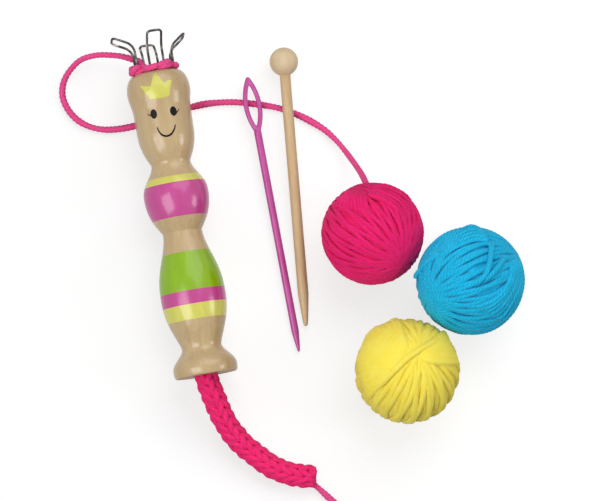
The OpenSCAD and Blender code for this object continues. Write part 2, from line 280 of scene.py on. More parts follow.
@dataclass
class Shape:
    """Points and faces gathered for one mesh, in millimetres from the middle of the doll's foot."""

    points: list[Array] = field(default_factory=list)
    faces: list[tuple[int, ...]] = field(default_factory=list)
    uvs: list[Array] = field(default_factory=list)
    slots: list[int] = field(default_factory=list)
    count: int = 0

    def rings(
        self,
        rings: Array,
        run: Array,
        closed: bool = True,
        capped: bool = True,
        slots: Sequence[int] | int = 0,
    ) -> None:
        """Adds a skin over a row of rings.

        Args:
            rings: Points, by ring and place on the ring.
            run: First surface coordinate of each ring.
            closed: Whether each ring closes on itself.
            capped: Whether the first and the last ring are filled.
            slots: Material number of the skin, or one for each step between rings.
        """
        rows, sides = rings.shape[:2]
        spans = sides if closed else sides - 1
        row, place = np.meshgrid(np.arange(rows - 1), np.arange(spans), indexing="ij")
        row, place = row.ravel(), place.ravel()
        after = (place + 1) % sides
        start = self.count + row * sides
        quads = np.stack([start + place, start + sides + place, start + sides + after, start + after], axis=1)
        self.faces.extend(map(tuple, quads.tolist()))
        across = np.stack([place, place, place + 1, place + 1], axis=1) / spans
        along = np.stack([run[row], run[row + 1], run[row + 1], run[row]], axis=1)
        self.uvs.append(np.stack([along, across], axis=2).reshape(-1, 2))
        kinds = np.broadcast_to(slots, rows - 1)
        self.slots.extend(kinds[row].tolist())
        if capped:
            for first, end in ((0, 1), (rows - 1, -1)):
                corners = self.count + first * sides + np.arange(sides)
                self.faces.append(tuple(corners[::end].tolist()))
                self.uvs.append(np.full((sides, 2), run[first]))
                self.slots.append(int(kinds[0]))
        self.points.append(rings.reshape(-1, 3))
        self.count += rows * sides

    def tube(self, path: Array, axes: Axes, radius: float, sides: int, run: Array) -> None:
        """Adds a round tube along a path.

        Args:
            path: Middle line of the tube.
            axes: Sideways and upward directions of its cross-section.
            radius: Its radius.
            sides: Points on each ring.
            run: First surface coordinate of each ring.
        """
        side, lift = axes
        spoke = spokes(ring_angles(sides)[None], side[:, None], lift[:, None])
        self.rings(path[:, None] + spoke * radius, run)

    def build(self, name: str, materials: Sequence[Material], sharp: float | None = None) -> Piece:
        """Turns what was gathered into an object.

        Args:
            name: Name of the piece.
            materials: Its materials, by number.
            sharp: Angle between faces, in degrees, from which an edge stays sharp, if any does.

        Returns:
            The new object, in the scene.
        """
        mesh = bpy.data.meshes.new(name)
        points = np.concatenate(self.points) * MM + foot_middle()
        mesh.from_pydata(points.tolist(), [], self.faces)
        mesh.uv_layers.new(name="surface").data.foreach_set("uv", np.concatenate(self.uvs).ravel())
        mesh.polygons.foreach_set("material_index", self.slots)
        mesh.shade_smooth()
        if sharp is not None:
            mesh.set_sharp_from_angle(angle=math.radians(sharp))
        for material in materials:
            mesh.materials.append(material)
        mesh.update()
        piece = bpy.data.objects.new(name, mesh)
        bpy.context.scene.collection.objects.link(piece)
        return piece


def foot_middle() -> Array:
    """Gives the table point under the middle of the doll's foot, in metres, from the doll body's box."""
    low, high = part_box("wooden_body")
    return np.array([(low.x + high.x) / 2, low.y, 0.0])


def settle(piece: Piece, body: Body, slot: Slot, *nodes: str) -> None:
    """Ties a finished piece to the part.

    Args:
        piece: The piece, in place.
        body: Body that it moves with.
        slot: Not used.
        nodes: Solids that it stands for.
    """
    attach(piece, body.value)
    if nodes:
        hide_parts(*nodes)
    LOG.info("%s: %d faces, moves with %s", piece.name, len(piece.data.polygons), body.value)


def turn_on_axis(outline: Array, origin: Array, axes: tuple[Array, Array, Array], sides: int) -> Array:
    """Turns an outline about an axis.

    Args:
        outline: Distance along the axis and radius of each ring.
        origin: Start of the axis.
        axes: First direction across the axis, the axis, and the second direction across it.
        sides: Points on each ring.

    Returns:
        The rings.
    """
    side, along, lift = axes
    spoke = spokes(ring_angles(sides), side, lift)
    return origin + outline[:, 0, None, None] * along + outline[:, 1, None, None] * spoke[None]


def rounded_end(middle: float, radius: float, angles: Array) -> list[Pair]:
    """Draws the outline of a rounded end: distance along the axis and radius of each ring."""
    return [(middle + radius * math.sin(a), max(CLOSED_RADIUS, radius * math.cos(a))) for a in angles]


# Finishes


def linear(colour: Colour) -> tuple[float, float, float, float]:
    """Turns a display colour into the linear colour of a shader."""
    shares = [c / 255 for c in colour]
    return (*[s / 12.92 if s <= 0.04045 else ((s + 0.055) / 1.055) ** 2.4 for s in shares], 1.0)


class Graph:
    """Adds nodes to one node tree and links them."""

    def __init__(self, tree: Tree) -> None:
        """Keeps the tree and clears it."""
        self.tree = tree
        tree.nodes.clear()

    def add(self, kind: str, inputs: dict | None = None, **settings: object) -> bpy.types.Node:
        """Adds one node.

        Args:
            kind: Type of the node.
            inputs: Values or sockets for its inputs, by name or number.
            settings: Properties of the node.

        Returns:
            The node.
        """
        node = self.tree.nodes.new(kind)
        for name, value in settings.items():
            setattr(node, name, value)
        for name, value in (inputs or {}).items():
            if isinstance(value, Socket):
                self.tree.links.new(value, node.inputs[name])
            else:
                node.inputs[name].default_value = value
        return node

    def math(self, operation: str, first: Socket, second: Socket | float) -> Socket:
        """Adds a sum of two values and gives its result."""
        return self.add("ShaderNodeMath", {0: first, 1: second}, operation=operation).outputs[0]

    def scaled(self, vector: Socket, factors: Spot) -> Socket:
        """Stretches coordinates by a factor for each axis."""
        node = self.add("ShaderNodeVectorMath", {0: vector, 1: factors}, operation="MULTIPLY")
        return node.outputs["Vector"]

    def group(self, tree: Tree, inputs: dict) -> bpy.types.bpy_prop_collection:
        """Places a shared node group with its own values and gives its outputs."""
        return self.add("ShaderNodeGroup", inputs, node_tree=tree).outputs

    def noise(self, place: Socket, scale: Socket | float, detail: float, **more: float) -> Socket:
        """Adds a noise and gives its value."""
        inputs = {"Vector": place, "Scale": scale, "Detail": detail, **more}
        return self.add("ShaderNodeTexNoise", inputs).outputs[0]

    def mixed(self, first: Socket, second: Socket, part: float) -> Socket:
        """Adds a part of a second value to the rest of a first one."""
        rest = self.math("MULTIPLY", first, 1.0 - part)
        return self.math("ADD", rest, self.math("MULTIPLY", second, part))

    def blend(self, factor: Socket, first: Colour | Socket, second: Colour) -> Socket:
        """Mixes two colours by a mask."""
        inputs = {0: factor, 6: first if isinstance(first, Socket) else linear(first), 7: linear(second)}
        return self.add("ShaderNodeMix", inputs, data_type="RGBA").outputs[2]

    def levels(self, value: Socket, dark: float, bright: float) -> Socket:
        """Maps the values between two levels onto a mask from 0 to 1."""
        return self.add("ShaderNodeMapRange", {0: value, 1: dark, 2: bright}).outputs[0]

    def spread(self, value: Socket, low: float, high: float) -> Socket:
        """Maps a mask from 0 to 1 onto a range."""
        return self.add("ShaderNodeMapRange", {0: value, 3: low, 4: high}).outputs[0]

    def bump(self, height: Socket, strength: float, depth: float) -> Socket:
        """Turns a height into a normal."""
        inputs = {"Strength": strength, "Distance": depth, "Height": height}
        return self.add("ShaderNodeBump", inputs).outputs[0]


def shared_group(name: str, places: Sequence[str], values: Sequence[str], results: Sequence[str]) -> Tree:
    """Makes an empty shader node group with named sockets.

    Args:
        name: Name of the group.
        places: Inputs for coordinates.
        values: Inputs for single values.
        results: Outputs, each a single value.

    Returns:
        The group's tree.
    """
    tree = bpy.data.node_groups.new(name, "ShaderNodeTree")
    sockets = [(socket, "INPUT", "NodeSocketVector") for socket in places]
    sockets += [(socket, "INPUT", "NodeSocketFloat") for socket in values]
    sockets += [(socket, "OUTPUT", "NodeSocketFloat") for socket in results]
    for socket, way, kind in sockets:
        tree.interface.new_socket(name=socket, in_out=way, socket_type=kind)
    return tree


@cache
def fibre_and_ply_shade_group() -> Tree:
    """Makes the streaks of fibres that run along the plies of a yarn, with painted light on the ply crests
    and painted shade in their grooves, once for all yarns.

    Returns:
        Group from surface coordinates and a place in metres to a tone, which holds the painted ply light and
        shade, and a height.
    """
    values = ("Fineness", "Plies", "Twist")
    tree = shared_group("yarn_fibre_and_ply_shade", ("Surface", "Place"), values, ("ToneAndPlyShade", "Height"))
    graph = Graph(tree)
    given = graph.add("NodeGroupInput").outputs
    along = graph.scaled(given["Surface"], (1.0, 7.0, 1.0))
    streak = graph.noise(along, given["Fineness"], 4.0, Roughness=0.65)
    cloud = graph.noise(given["Place"], 160.0, 2.0)
    around = graph.add("ShaderNodeSeparateXYZ", {"Vector": given["Surface"]}).outputs[1]
    turn = graph.math("MULTIPLY", graph.math("MULTIPLY", around, given["Plies"]), FULL_TURN)
    # Painted light and shade: the crests of the plies are lighter, the grooves between them darker.
    painted_ply_shading = graph.math("MULTIPLY", graph.math("COSINE", turn, 0.0), given["Twist"])
    tone_and_ply_shading = graph.math("ADD", graph.mixed(streak, cloud, 0.25), painted_ply_shading)
    graph.add("NodeGroupOutput", {"ToneAndPlyShade": graph.levels(tone_and_ply_shading, 9 / 28, 19 / 28), "Height": streak})
    return tree


@cache
def grain_group() -> Tree:
    """Makes the grain of a turned hardwood that runs along Y, once for wood and paint.

    Returns:
        Group from a place in metres to streaks and pores.
    """
    tree = shared_group("wood_grain", ("Place",), ("Fineness",), ("Streak", "Pore"))
    graph = Graph(tree)
    given = graph.add("NodeGroupInput").outputs
    drawn = graph.scaled(given["Place"], (1.0, 0.06, 1.0))
    wide = graph.noise(drawn, given["Fineness"], 3.0, Distortion=0.6)
    fine = graph.noise(drawn, graph.math("MULTIPLY", given["Fineness"], 6.0), 2.0)
    flecks = {
        "Vector": graph.scaled(given["Place"], (1.0, 0.16, 1.0)),
        "Scale": graph.math("MULTIPLY", given["Fineness"], 9.0),
    }
    fleck = graph.add("ShaderNodeTexVoronoi", flecks).outputs[0]
    streak = graph.levels(graph.mixed(wide, fine, 0.3), 0.32, 0.68)
    graph.add("NodeGroupOutput", {"Streak": streak, "Pore": graph.levels(fleck, 0.22, 0.05)})
    return tree


@cache
def handling_group() -> Tree:
    """Makes the uneven gloss that handling leaves on a smooth surface, once for all of them. On the steel its
    patches also paint reflections into the colour.

    Returns:
        Group from a place in metres to a mask and a height.
    """
    tree = shared_group("handling", ("Place",), ("Size",), ("Patch", "Ripple"))
    graph = Graph(tree)
    given = graph.add("NodeGroupInput").outputs
    patch = graph.levels(graph.noise(given["Place"], given["Size"], 4.0), 0.3, 0.7)
    ripple = graph.noise(given["Place"], graph.math("MULTIPLY", given["Size"], 4.0), 1.0)
    graph.add("NodeGroupOutput", {"Patch": patch, "Ripple": ripple})
    return tree


def new_material(name: str) -> tuple[Material, Graph]:
    """Makes an empty material with nodes.

    Args:
        name: Name of the material.

    Returns:
        The material and its graph.
    """
    material = bpy.data.materials.new(name)
    material.use_nodes = True
    return material, Graph(material.node_tree)


def finished(graph: Graph, inputs: dict) -> None:
    """Ends a material with a principled surface that has these inputs."""
    surface = graph.add("ShaderNodeBsdfPrincipled", inputs)
    graph.add("ShaderNodeOutputMaterial", {"Surface": surface.outputs[0]})


@dataclass(frozen=True)
class YarnFinish:
    """Soft plied yarn of one colour, with light painted on its ply crests and shade painted in its grooves.
    """

    name: str
    colour: Colour
    # The dark tone varies at random along the fibres and is also painted shade in the grooves between plies.
    dark_tone_and_groove_shade: Colour
    sheen: Colour
    fuzz: float = 0.3
    # twist sets how strongly light and shade are painted on the ply crests and grooves.
    twist: float = 0.08
    relief: float = 0.5
    fineness: float = 5.0
    plies: float = 4.0
    depth: float = 0.0003

    def material(self) -> Material:
        """Makes the material.

        Returns:
            Matt fibres with a soft sheen, and light and shade painted on the plies.
        """
        material, graph = new_material(self.name)
        place = graph.add("ShaderNodeTexCoord").outputs
        values = {"Fineness": self.fineness, "Plies": self.plies, "Twist": self.twist}
        fibre_and_ply_shade = graph.group(fibre_and_ply_shade_group(), {"Surface": place["UV"], "Place": place["Object"], **values})
        finished(
            graph,
            {
                # The base colour holds the painted light and shade of the plies.
                "Base Color": graph.blend(fibre_and_ply_shade["ToneAndPlyShade"], self.dark_tone_and_groove_shade, self.colour),
                "Roughness": 0.9,
                "Specular IOR Level": 0.2,
                "Sheen Weight": self.fuzz,
                "Sheen Roughness": 0.5,
                "Sheen Tint": linear(self.sheen),
                "Normal": graph.bump(fibre_and_ply_shade["Height"], self.relief, self.depth),
            },
        )
        return material


@dataclass(frozen=True)
class WoodFinish:
    """Turned wood with its grain, bare or under varnish."""

    name: str
    pale: Colour
    dark: Colour
    pore: Colour
    fineness: float
    varnish: float
    pores: float = 0.35
    patches: float = 45.0
    relief: float = 0.12
    depth: float = 0.0002

    def material(self) -> Material:
        """Makes the material.

        Returns:
            Streaked wood with pores, and a gloss coat where it is varnished.
        """
        material, graph = new_material(self.name)
        place = graph.add("ShaderNodeTexCoord").outputs["Object"]
        grain = graph.group(grain_group(), {"Place": place, "Fineness": self.fineness})
        handled = graph.group(handling_group(), {"Place": place, "Size": self.patches})
        streaked = graph.blend(grain["Streak"], self.dark, self.pale)
        finished(
            graph,
            {
                "Base Color": graph.blend(
                    graph.math("MULTIPLY", grain["Pore"], self.pores), streaked, self.pore
                ),
                "Roughness": graph.spread(handled["Patch"], 0.42, 0.58),
                "Specular IOR Level": 0.25 * (1.0 - self.varnish),
                "Coat Weight": self.varnish,
                "Coat Roughness": 0.2,
                "Normal": graph.bump(grain["Streak"], self.relief, self.depth),
            },
        )
        return material


@dataclass(frozen=True)
class PaintFinish:
    """Brushed paint under the doll's varnish."""

    name: str
    colour: Colour
    thin: Colour
    varnish: float = 1.0
    fineness: float = 260.0
    patches: float = 60.0
    relief: float = 0.1
    depth: float = 0.0002

    def material(self) -> Material:
        """Makes the material.

        Returns:
            Paint that lets a little of the grain through, with a gloss coat.
        """
        material, graph = new_material(self.name)
        place = graph.add("ShaderNodeTexCoord").outputs["Object"]
        grain = graph.group(grain_group(), {"Place": place, "Fineness": self.fineness})
        handled = graph.group(handling_group(), {"Place": place, "Size": self.patches})
        finished(
            graph,
            {
                "Base Color": graph.blend(grain["Streak"], self.thin, self.colour),
                "Roughness": graph.spread(handled["Patch"], 0.4, 0.55),
                "Specular IOR Level": 0.1 * (1.0 - self.varnish),
                "Coat Weight": self.varnish,
                "Coat Roughness": 0.2,
                "Normal": graph.bump(grain["Streak"], self.relief, self.depth),
            },
        )
        return material


@dataclass(frozen=True)
class SteelFinish:
    """Drawn steel wire, with bright and dark reflections painted into its colour."""

    name: str
    # The bright and the dark colour are painted reflections, not the metal's own tone.
    bright: Colour
    painted_dark_reflection: Colour
    patches: float = 260.0
    contrast: float = 4.0

    def material(self) -> Material:
        """Makes the material.

        Returns:
            Metal with uneven polish, and reflections painted into its colour by the same patches.
        """
        material, graph = new_material(self.name)
        place = graph.add("ShaderNodeTexCoord").outputs["Object"]
        handled = graph.group(handling_group(), {"Place": place, "Size": self.patches})
        # The patches set the roughness and also paint bright and dark reflections into the colour.
        polish_and_painted_reflection = graph.math("POWER", handled["Patch"], self.contrast)
        finished(
            graph,
            {
                "Base Color": graph.blend(polish_and_painted_reflection, self.painted_dark_reflection, self.bright),
                "Metallic": 1.0,
                "Roughness": graph.spread(polish_and_painted_reflection, 0.3, 0.16),
            },
        )
        return material


@dataclass(frozen=True)
class PlasticFinish:
    """Moulded plastic."""

    name: str
    colour: Colour
    worn: Colour
    patches: float = 90.0
    relief: float = 0.08
    depth: float = 0.0002

    def material(self) -> Material:
        """Makes the material.

        Returns:
            Smooth plastic with a faint flow in its colour.
        """
        material, graph = new_material(self.name)
        place = graph.add("ShaderNodeTexCoord").outputs["Object"]
        handled = graph.group(handling_group(), {"Place": place, "Size": self.patches})
        finished(
            graph,
            {
                "Base Color": graph.blend(handled["Patch"], self.worn, self.colour),
                "Roughness": graph.spread(handled["Patch"], 0.24, 0.36),
                "Normal": graph.bump(handled["Ripple"], self.relief, self.depth),
            },
        )
        return material


@dataclass
class Finishes:
    """All materials of the set, each made once."""

    wood: Material
    bare_wood: Material
    yellow_paint: Material
    magenta_paint: Material
    green_paint: Material
    black_paint: Material
    steel: Material
    pink_yarn: Material
    # The knit and the loose strands take lighter copies of the pink yarn, with painted light and sheen in
    # their colour.
    pink_knit_painted_light: Material
    pink_strand_painted_light: Material
    blue_yarn: Material
    yellow_yarn: Material
    plastic: Material
    pick_wood: Material
    bead_wood: Material

    @classmethod
    def make(cls) -> "Finishes":
        """Makes every material from its colours.

        Returns:
            The materials.
        """
        finishes = dict(
            wood=WoodFinish("doll_wood", (198, 174, 132), (184, 155, 111), (152, 120, 78), 220.0, 1.0),
            bare_wood=WoodFinish("bare_wood", (188, 163, 123), (174, 145, 103), (142, 110, 70), 220.0, 0.0),
            yellow_paint=PaintFinish("yellow_paint", (216, 214, 100), (207, 203, 90)),
            magenta_paint=PaintFinish("magenta_paint", (200, 74, 148), (188, 64, 136)),
            green_paint=PaintFinish("green_paint", (143, 186, 0), (130, 172, 0)),
            black_paint=PaintFinish("black_paint", (10, 8, 7), (6, 5, 5), 0.12),
            steel=SteelFinish("steel_wire", (205, 203, 200), (60, 57, 55)),
            pink_yarn=YarnFinish("pink_yarn", (250, 38, 126), (232, 20, 101), (255, 150, 195)),
            # Lighter copies of the pink yarn: painted light on the knit, painted light and sheen on the loose
            # strands.
            pink_knit_painted_light=YarnFinish("pink_knit_painted_light", (252, 50, 130), (240, 30, 106), (255, 160, 205)),
            pink_strand_painted_light=YarnFinish("pink_strand_painted_light", (246, 90, 156), (232, 68, 136), (255, 180, 215)),
            blue_yarn=YarnFinish("blue_yarn", (34, 206, 250), (4, 170, 218), (160, 230, 255), 0.36, 0.13),
            yellow_yarn=YarnFinish(
                "yellow_yarn", (255, 244, 114), (255, 226, 46), (255, 246, 170), 0.65, 0.0, 0.2
            ),
            plastic=PlasticFinish("needle_plastic", (194, 76, 157), (184, 64, 145)),
            pick_wood=WoodFinish("pick_wood", (214, 186, 146), (196, 164, 122), (152, 116, 74), 420.0, 0.1),
            bead_wood=WoodFinish("bead_wood", (222, 201, 166), (208, 182, 142), (176, 144, 102), 260.0, 0.1),
        )
        return cls(**{name: finish.material() for name, finish in finishes.items()})


# Sub-assemblies


@dataclass(frozen=True)
class PliedYarn:
    """A yarn of twisted plies, thinner at its ends, that may swell along its length."""

    diameter: float = 3.2
    plies: int = 4
    lay: float = 9.0
    groove: float = 0.1
    swell: float = 0.0
    swell_span: float = 3.0
    end_share: float = 0.55
    widen: float = 0.45
    flatten: float = 0.5

    def add(self, shape: Shape, path: Array, axes: Axes, press: Array | float = 0.0) -> None:
        """Adds one strand to a shape.

        Args:
            shape: Shape that takes the strand.
            path: Middle line of the strand.
            axes: Sideways and upward directions of its cross-section.
            press: How far each section is pressed flat, from 0 to 1.
        """
        side, lift = axes
        run = run_of(path)
        corner = np.arange(2 * self.plies)
        angle = math.pi * corner / self.plies + FULL_TURN * run[:, None] / self.lay
        reach = np.where(corner % 2 == 0, 1.0, 1.0 - self.groove) * self.diameter / 2
        ends = np.minimum(1.0, self.end_share + np.minimum(run, run[-1] - run) / self.diameter)
        swings = 2 + int(run[-1] / (self.swell_span * self.diameter))
        ends *= 1 + self.swell * wander(len(path), swings, len(path))
        reach = reach * ends[:, None]
        press = np.broadcast_to(press, len(path))[:, None]
        wide = (np.cos(angle) * reach * (1 + self.widen * press))[..., None]
        high = (np.sin(angle) * reach * (1 - self.flatten * press))[..., None]
        rings = path[:, None] + wide * side[:, None] + high * lift[:, None]
        shape.rings(rings, run / (math.pi * self.diameter))


@dataclass(frozen=True)
class Station:
    """One turned ring of the doll: its place, its radius and how early the next curve moves."""

    along: float
    radius: float
    early: float = 1.0


@dataclass(frozen=True)
class Band:
    """A painted band round the doll, between two places along it."""

    start: float
    end: float
    paint: Paint


@dataclass
class WoodenDoll:
    """The turned doll: its body with painted bands, its face and its crown."""

    finishes: Finishes
    stations: tuple[Station, ...] = (
        Station(3.5, 16.8, 1.15),
        Station(15, 10.4, 0.65),
        Station(41, 17, 1.3),
        Station(75.5, 10.3, 0.55),
        Station(95, 17, 1.2),
        Station(112, 10.3, 0.55),
        Station(129, 14.95),
        Station(139, 15.1),
        Station(150, 16.6),
    )
    length: float = 160.0
    foot_edge: float = 0.9
    top_radius: float = 11.0
    bore_radius: float = 7.0
    rim: float = 0.5
    sides: int = 112
    foot_rings: int = 9
    top_rings: int = 17
    curve_rings: int = 15
    bore_rings: int = 9
    bore_inset: float = 8.0
    rim_round: float = 0.3
    edge_angle: float = 35.0
    bands: tuple[Band, ...] = (
        Band(28.9, 36.7, Paint.YELLOW),
        Band(36.7, 43.9, Paint.MAGENTA),
        Band(43.9, 64.3, Paint.GREEN),
        Band(82.7, 100.5, Paint.MAGENTA),
        Band(100.5, 104.1, Paint.YELLOW),
    )
    paint_lift: float = 0.05
    eye_places: tuple[Pair, ...] = ((-4.3, 137.2), (6.0, 137.1))
    eye_size: Pair = (1.7, 2.5)
    eye_shares: tuple[float, ...] = (1.0, 0.66, 0.33, 0.02)
    eye_sides: int = 32
    lashes: tuple[tuple[Pair, ...], ...] = (
        ((-1.5, -0.4), (-2.1, -0.3), (-2.7, 0.1), (-3.2, 0.7)),
        ((1.2, -1.2), (1.9, -0.6), (2.5, 0.1), (3.1, 1.0)),
    )
    lash_width: Pair = (0.7, 0.3)
    smile: tuple[Pair, ...] = (
        (-3.7, 130.0), (-3.1, 127.8), (-1.7, 125.6), (0.3, 124.7), (2.6, 125.2), (4.6, 127.2), (5.9, 130.0)
    )
    smile_width: float = 1.0
    smile_end: float = 0.55
    smile_step: float = 0.4
    crown_base: tuple[Pair, ...] = (
        (-4.85, 145.1), (-2.2, 144.8), (0.2, 144.7), (2.8, 144.8), (4.3, 145.0), (5.3, 145.2)
    )
    crown_tips: tuple[Pair, ...] = (
        (-9.0, 152.9), (-3.6, 151.4), (-0.2, 159.2), (3.6, 152.0), (5.9, 153.4), (7.8, 153.2)
    )
    crown_steps: tuple[int, int] = (41, 13)

    def axis_height(self) -> float:
        """Gives the height of the doll's axis over the table."""
        low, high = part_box("wooden_body")
        return (low.z + high.z) / 2 / MM

    def head_top(self) -> Array:
        """Gives the middle of the flat top of the head."""
        return np.array([0.0, self.length, self.axis_height()])

    def radius(self, along: float) -> float:
        """Finds the turned radius at a place along the doll.

        Args:
            along: Distance from the foot.

        Returns:
            The radius.
        """
        first, last = self.stations[0], self.stations[-1]
        if along <= first.along:
            share = 1 - along / first.along
            return first.radius - self.foot_edge * (1 - math.sqrt(max(0.0, 1 - share**2)))
        if along >= last.along:
            share = (along - last.along) / (self.length - last.along)
            return self.top_radius + (last.radius - self.top_radius) * math.sqrt(max(0.0, 1 - share**2))
        for here, there in zip(self.stations, self.stations[1:]):
            if along <= there.along:
                share = ((along - here.along) / (there.along - here.along)) ** here.early
                return here.radius + (there.radius - here.radius) * (1 - math.cos(math.pi * share)) / 2
        return last.radius

    def outline(self) -> tuple[Array, list[int]]:
        """Draws the closed outline that is turned.

        Returns:
            Place and radius of each ring, and the material number of each step between rings.
        """
        first, last = self.stations[0].along, self.stations[-1].along
        foot = np.linspace(0.0, QUARTER, self.foot_rings)
        head = np.linspace(0.0, QUARTER, self.top_rings)
        stops = set((first * (1 - np.cos(foot))).round(4))
        stops |= set((last + (self.length - last) * np.sin(head)).round(4))
        for here, there in zip(self.stations, self.stations[1:]):
            stops |= set(np.linspace(here.along, there.along, self.curve_rings).round(4))
        stops |= {edge for band in self.bands for edge in (band.start, band.end)}
        outer = [(y, self.radius(y)) for y in sorted(stops)]
        rim, bore, top = self.rim, self.bore_radius, self.length
        soft = rim * self.rim_round
        inner = [(top, bore + rim), (top - soft, bore + soft), (top - rim, bore)]
        inner += [(y, bore) for y in np.linspace(top - self.bore_inset, self.bore_inset, self.bore_rings)]
        inner += [(rim, bore), (soft, bore + soft), (0.0, bore + rim)]
        rings = np.array([*outer, *inner, outer[0]])
        slots = []
        for (start, _), (end, radius) in zip(rings, rings[1:]):
            middle = (start + end) / 2
            plain = Paint.BARE_WOOD if start == end == 0.0 else Paint.WOOD
            painted = [band.paint for band in self.bands if band.start < middle < band.end]
            slots.append(painted[0] if painted and radius > bore + rim else plain)
        return rings, slots

    def on_front(self, flat: Array) -> Array:
        """Lays flat points on the front of the doll, just over the wood.

        Args:
            flat: Sideways place and distance from the foot of each point.

        Returns:
            The points in space.
        """
        reach = np.vectorize(self.radius)(flat[..., 1]) + self.paint_lift
        height = np.sqrt(reach**2 - flat[..., 0] ** 2)
        return np.stack([flat[..., 0], flat[..., 1], self.axis_height() + height], axis=-1)

    def build(self) -> None:
        """Builds the body and dresses it with its face and crown."""
        self.build_body()
        self.build_eyes()
        self.build_smile()
        self.build_crown()

    def build_body(self) -> None:
        """Turns the body with its bore and paints its bands."""
        rings, slots = self.outline()
        skin = turn_on_axis(rings, Z_AXIS * self.axis_height(), (X_AXIS, Y_AXIS, Z_AXIS), self.sides)
        shape = Shape()
        shape.rings(skin, run_of(rings), capped=False, slots=slots)
        finishes = self.finishes
        paints = {
            Paint.WOOD: finishes.wood,
            Paint.YELLOW: finishes.yellow_paint,
            Paint.MAGENTA: finishes.magenta_paint,
            Paint.GREEN: finishes.green_paint,
            Paint.BARE_WOOD: finishes.bare_wood,
        }
        piece = shape.build("doll_body", [paints[paint] for paint in Paint], self.edge_angle)
        settle(piece, Body.DOLL, Slot.WOOD, "wooden_body")

    def build_eyes(self) -> None:
        """Paints both eyes, each with its lash."""
        shape = Shape()
        angle = ring_angles(self.eye_sides)
        oval = np.stack([np.cos(angle), np.sin(angle)], axis=1) * self.eye_size
        shares = np.array(self.eye_shares)
        for place, lash in zip(self.eye_places, self.lashes):
            flat = np.array(place) + shares[:, None, None] * oval
            shape.rings(self.on_front(flat), shares, capped=False)
            self.stroke(shape, np.add(place, lash), np.linspace(*self.lash_width, len(lash)))
        settle(shape.build("eyes", [self.finishes.black_paint]), Body.DOLL, Slot.WOOD)

    def stroke(self, shape: Shape, line: Array, widths: Array) -> None:
        """Adds one brush stroke on the front.

        Args:
            shape: Shape that takes the stroke.
            line: Flat middle line of the stroke.
            widths: Width at each point.
        """
        ahead = unit(np.gradient(line, axis=0))
        across = np.stack([ahead[:, 1], -ahead[:, 0]], axis=1) * widths[:, None] / 2
        flat = line[:, None] + across[:, None] * np.array([1.0, 0.0, -1.0])[None, :, None]
        shape.rings(self.on_front(flat), run_of(line), closed=False, capped=False)

    def build_smile(self) -> None:
        """Paints the smile, thin at its ends."""
        shape = Shape()
        line = smooth(self.smile, self.smile_step)
        swell = np.sin(math.pi * np.linspace(0.0, 1.0, len(line)))
        self.stroke(shape, line, self.smile_width * (self.smile_end + (1 - self.smile_end) * swell))
        settle(shape.build("smile", [self.finishes.black_paint]), Body.DOLL, Slot.WOOD)

    def build_crown(self) -> None:
        """Paints the crown with its three points."""
        stops = np.linspace(0.0, 1.0, len(self.crown_tips))
        across, rise = (np.linspace(0.0, 1.0, count) for count in self.crown_steps)
        base = between(across, stops, np.array(self.crown_base))
        tips = between(across, stops, np.array(self.crown_tips))
        flat = base[None] + rise[:, None, None] * (tips - base)[None]
        shape = Shape()
        shape.rings(self.on_front(flat), rise, closed=False, capped=False)
        settle(shape.build("crown", [self.finishes.yellow_paint]), Body.DOLL, Slot.WOOD)


@dataclass(frozen=True)
class Loop:
    """One wire loop in the doll's head and how the stitch on it lies.

    The wire has an angle round the head, a height over the wood, a reach outwards, a lean in degrees and
    a twist, by which one corner is higher. The stitch has a lift over the wood, a tilt sideways, a droop
    on its outer side and a hug, the share of its thickness by which that side stands off the wire.
    """

    name: str
    angle: float
    height: float
    reach: float
    lean: float
    twist: float
    lift: float
    tilt: float
    droop: float
    hug: float = 1.0


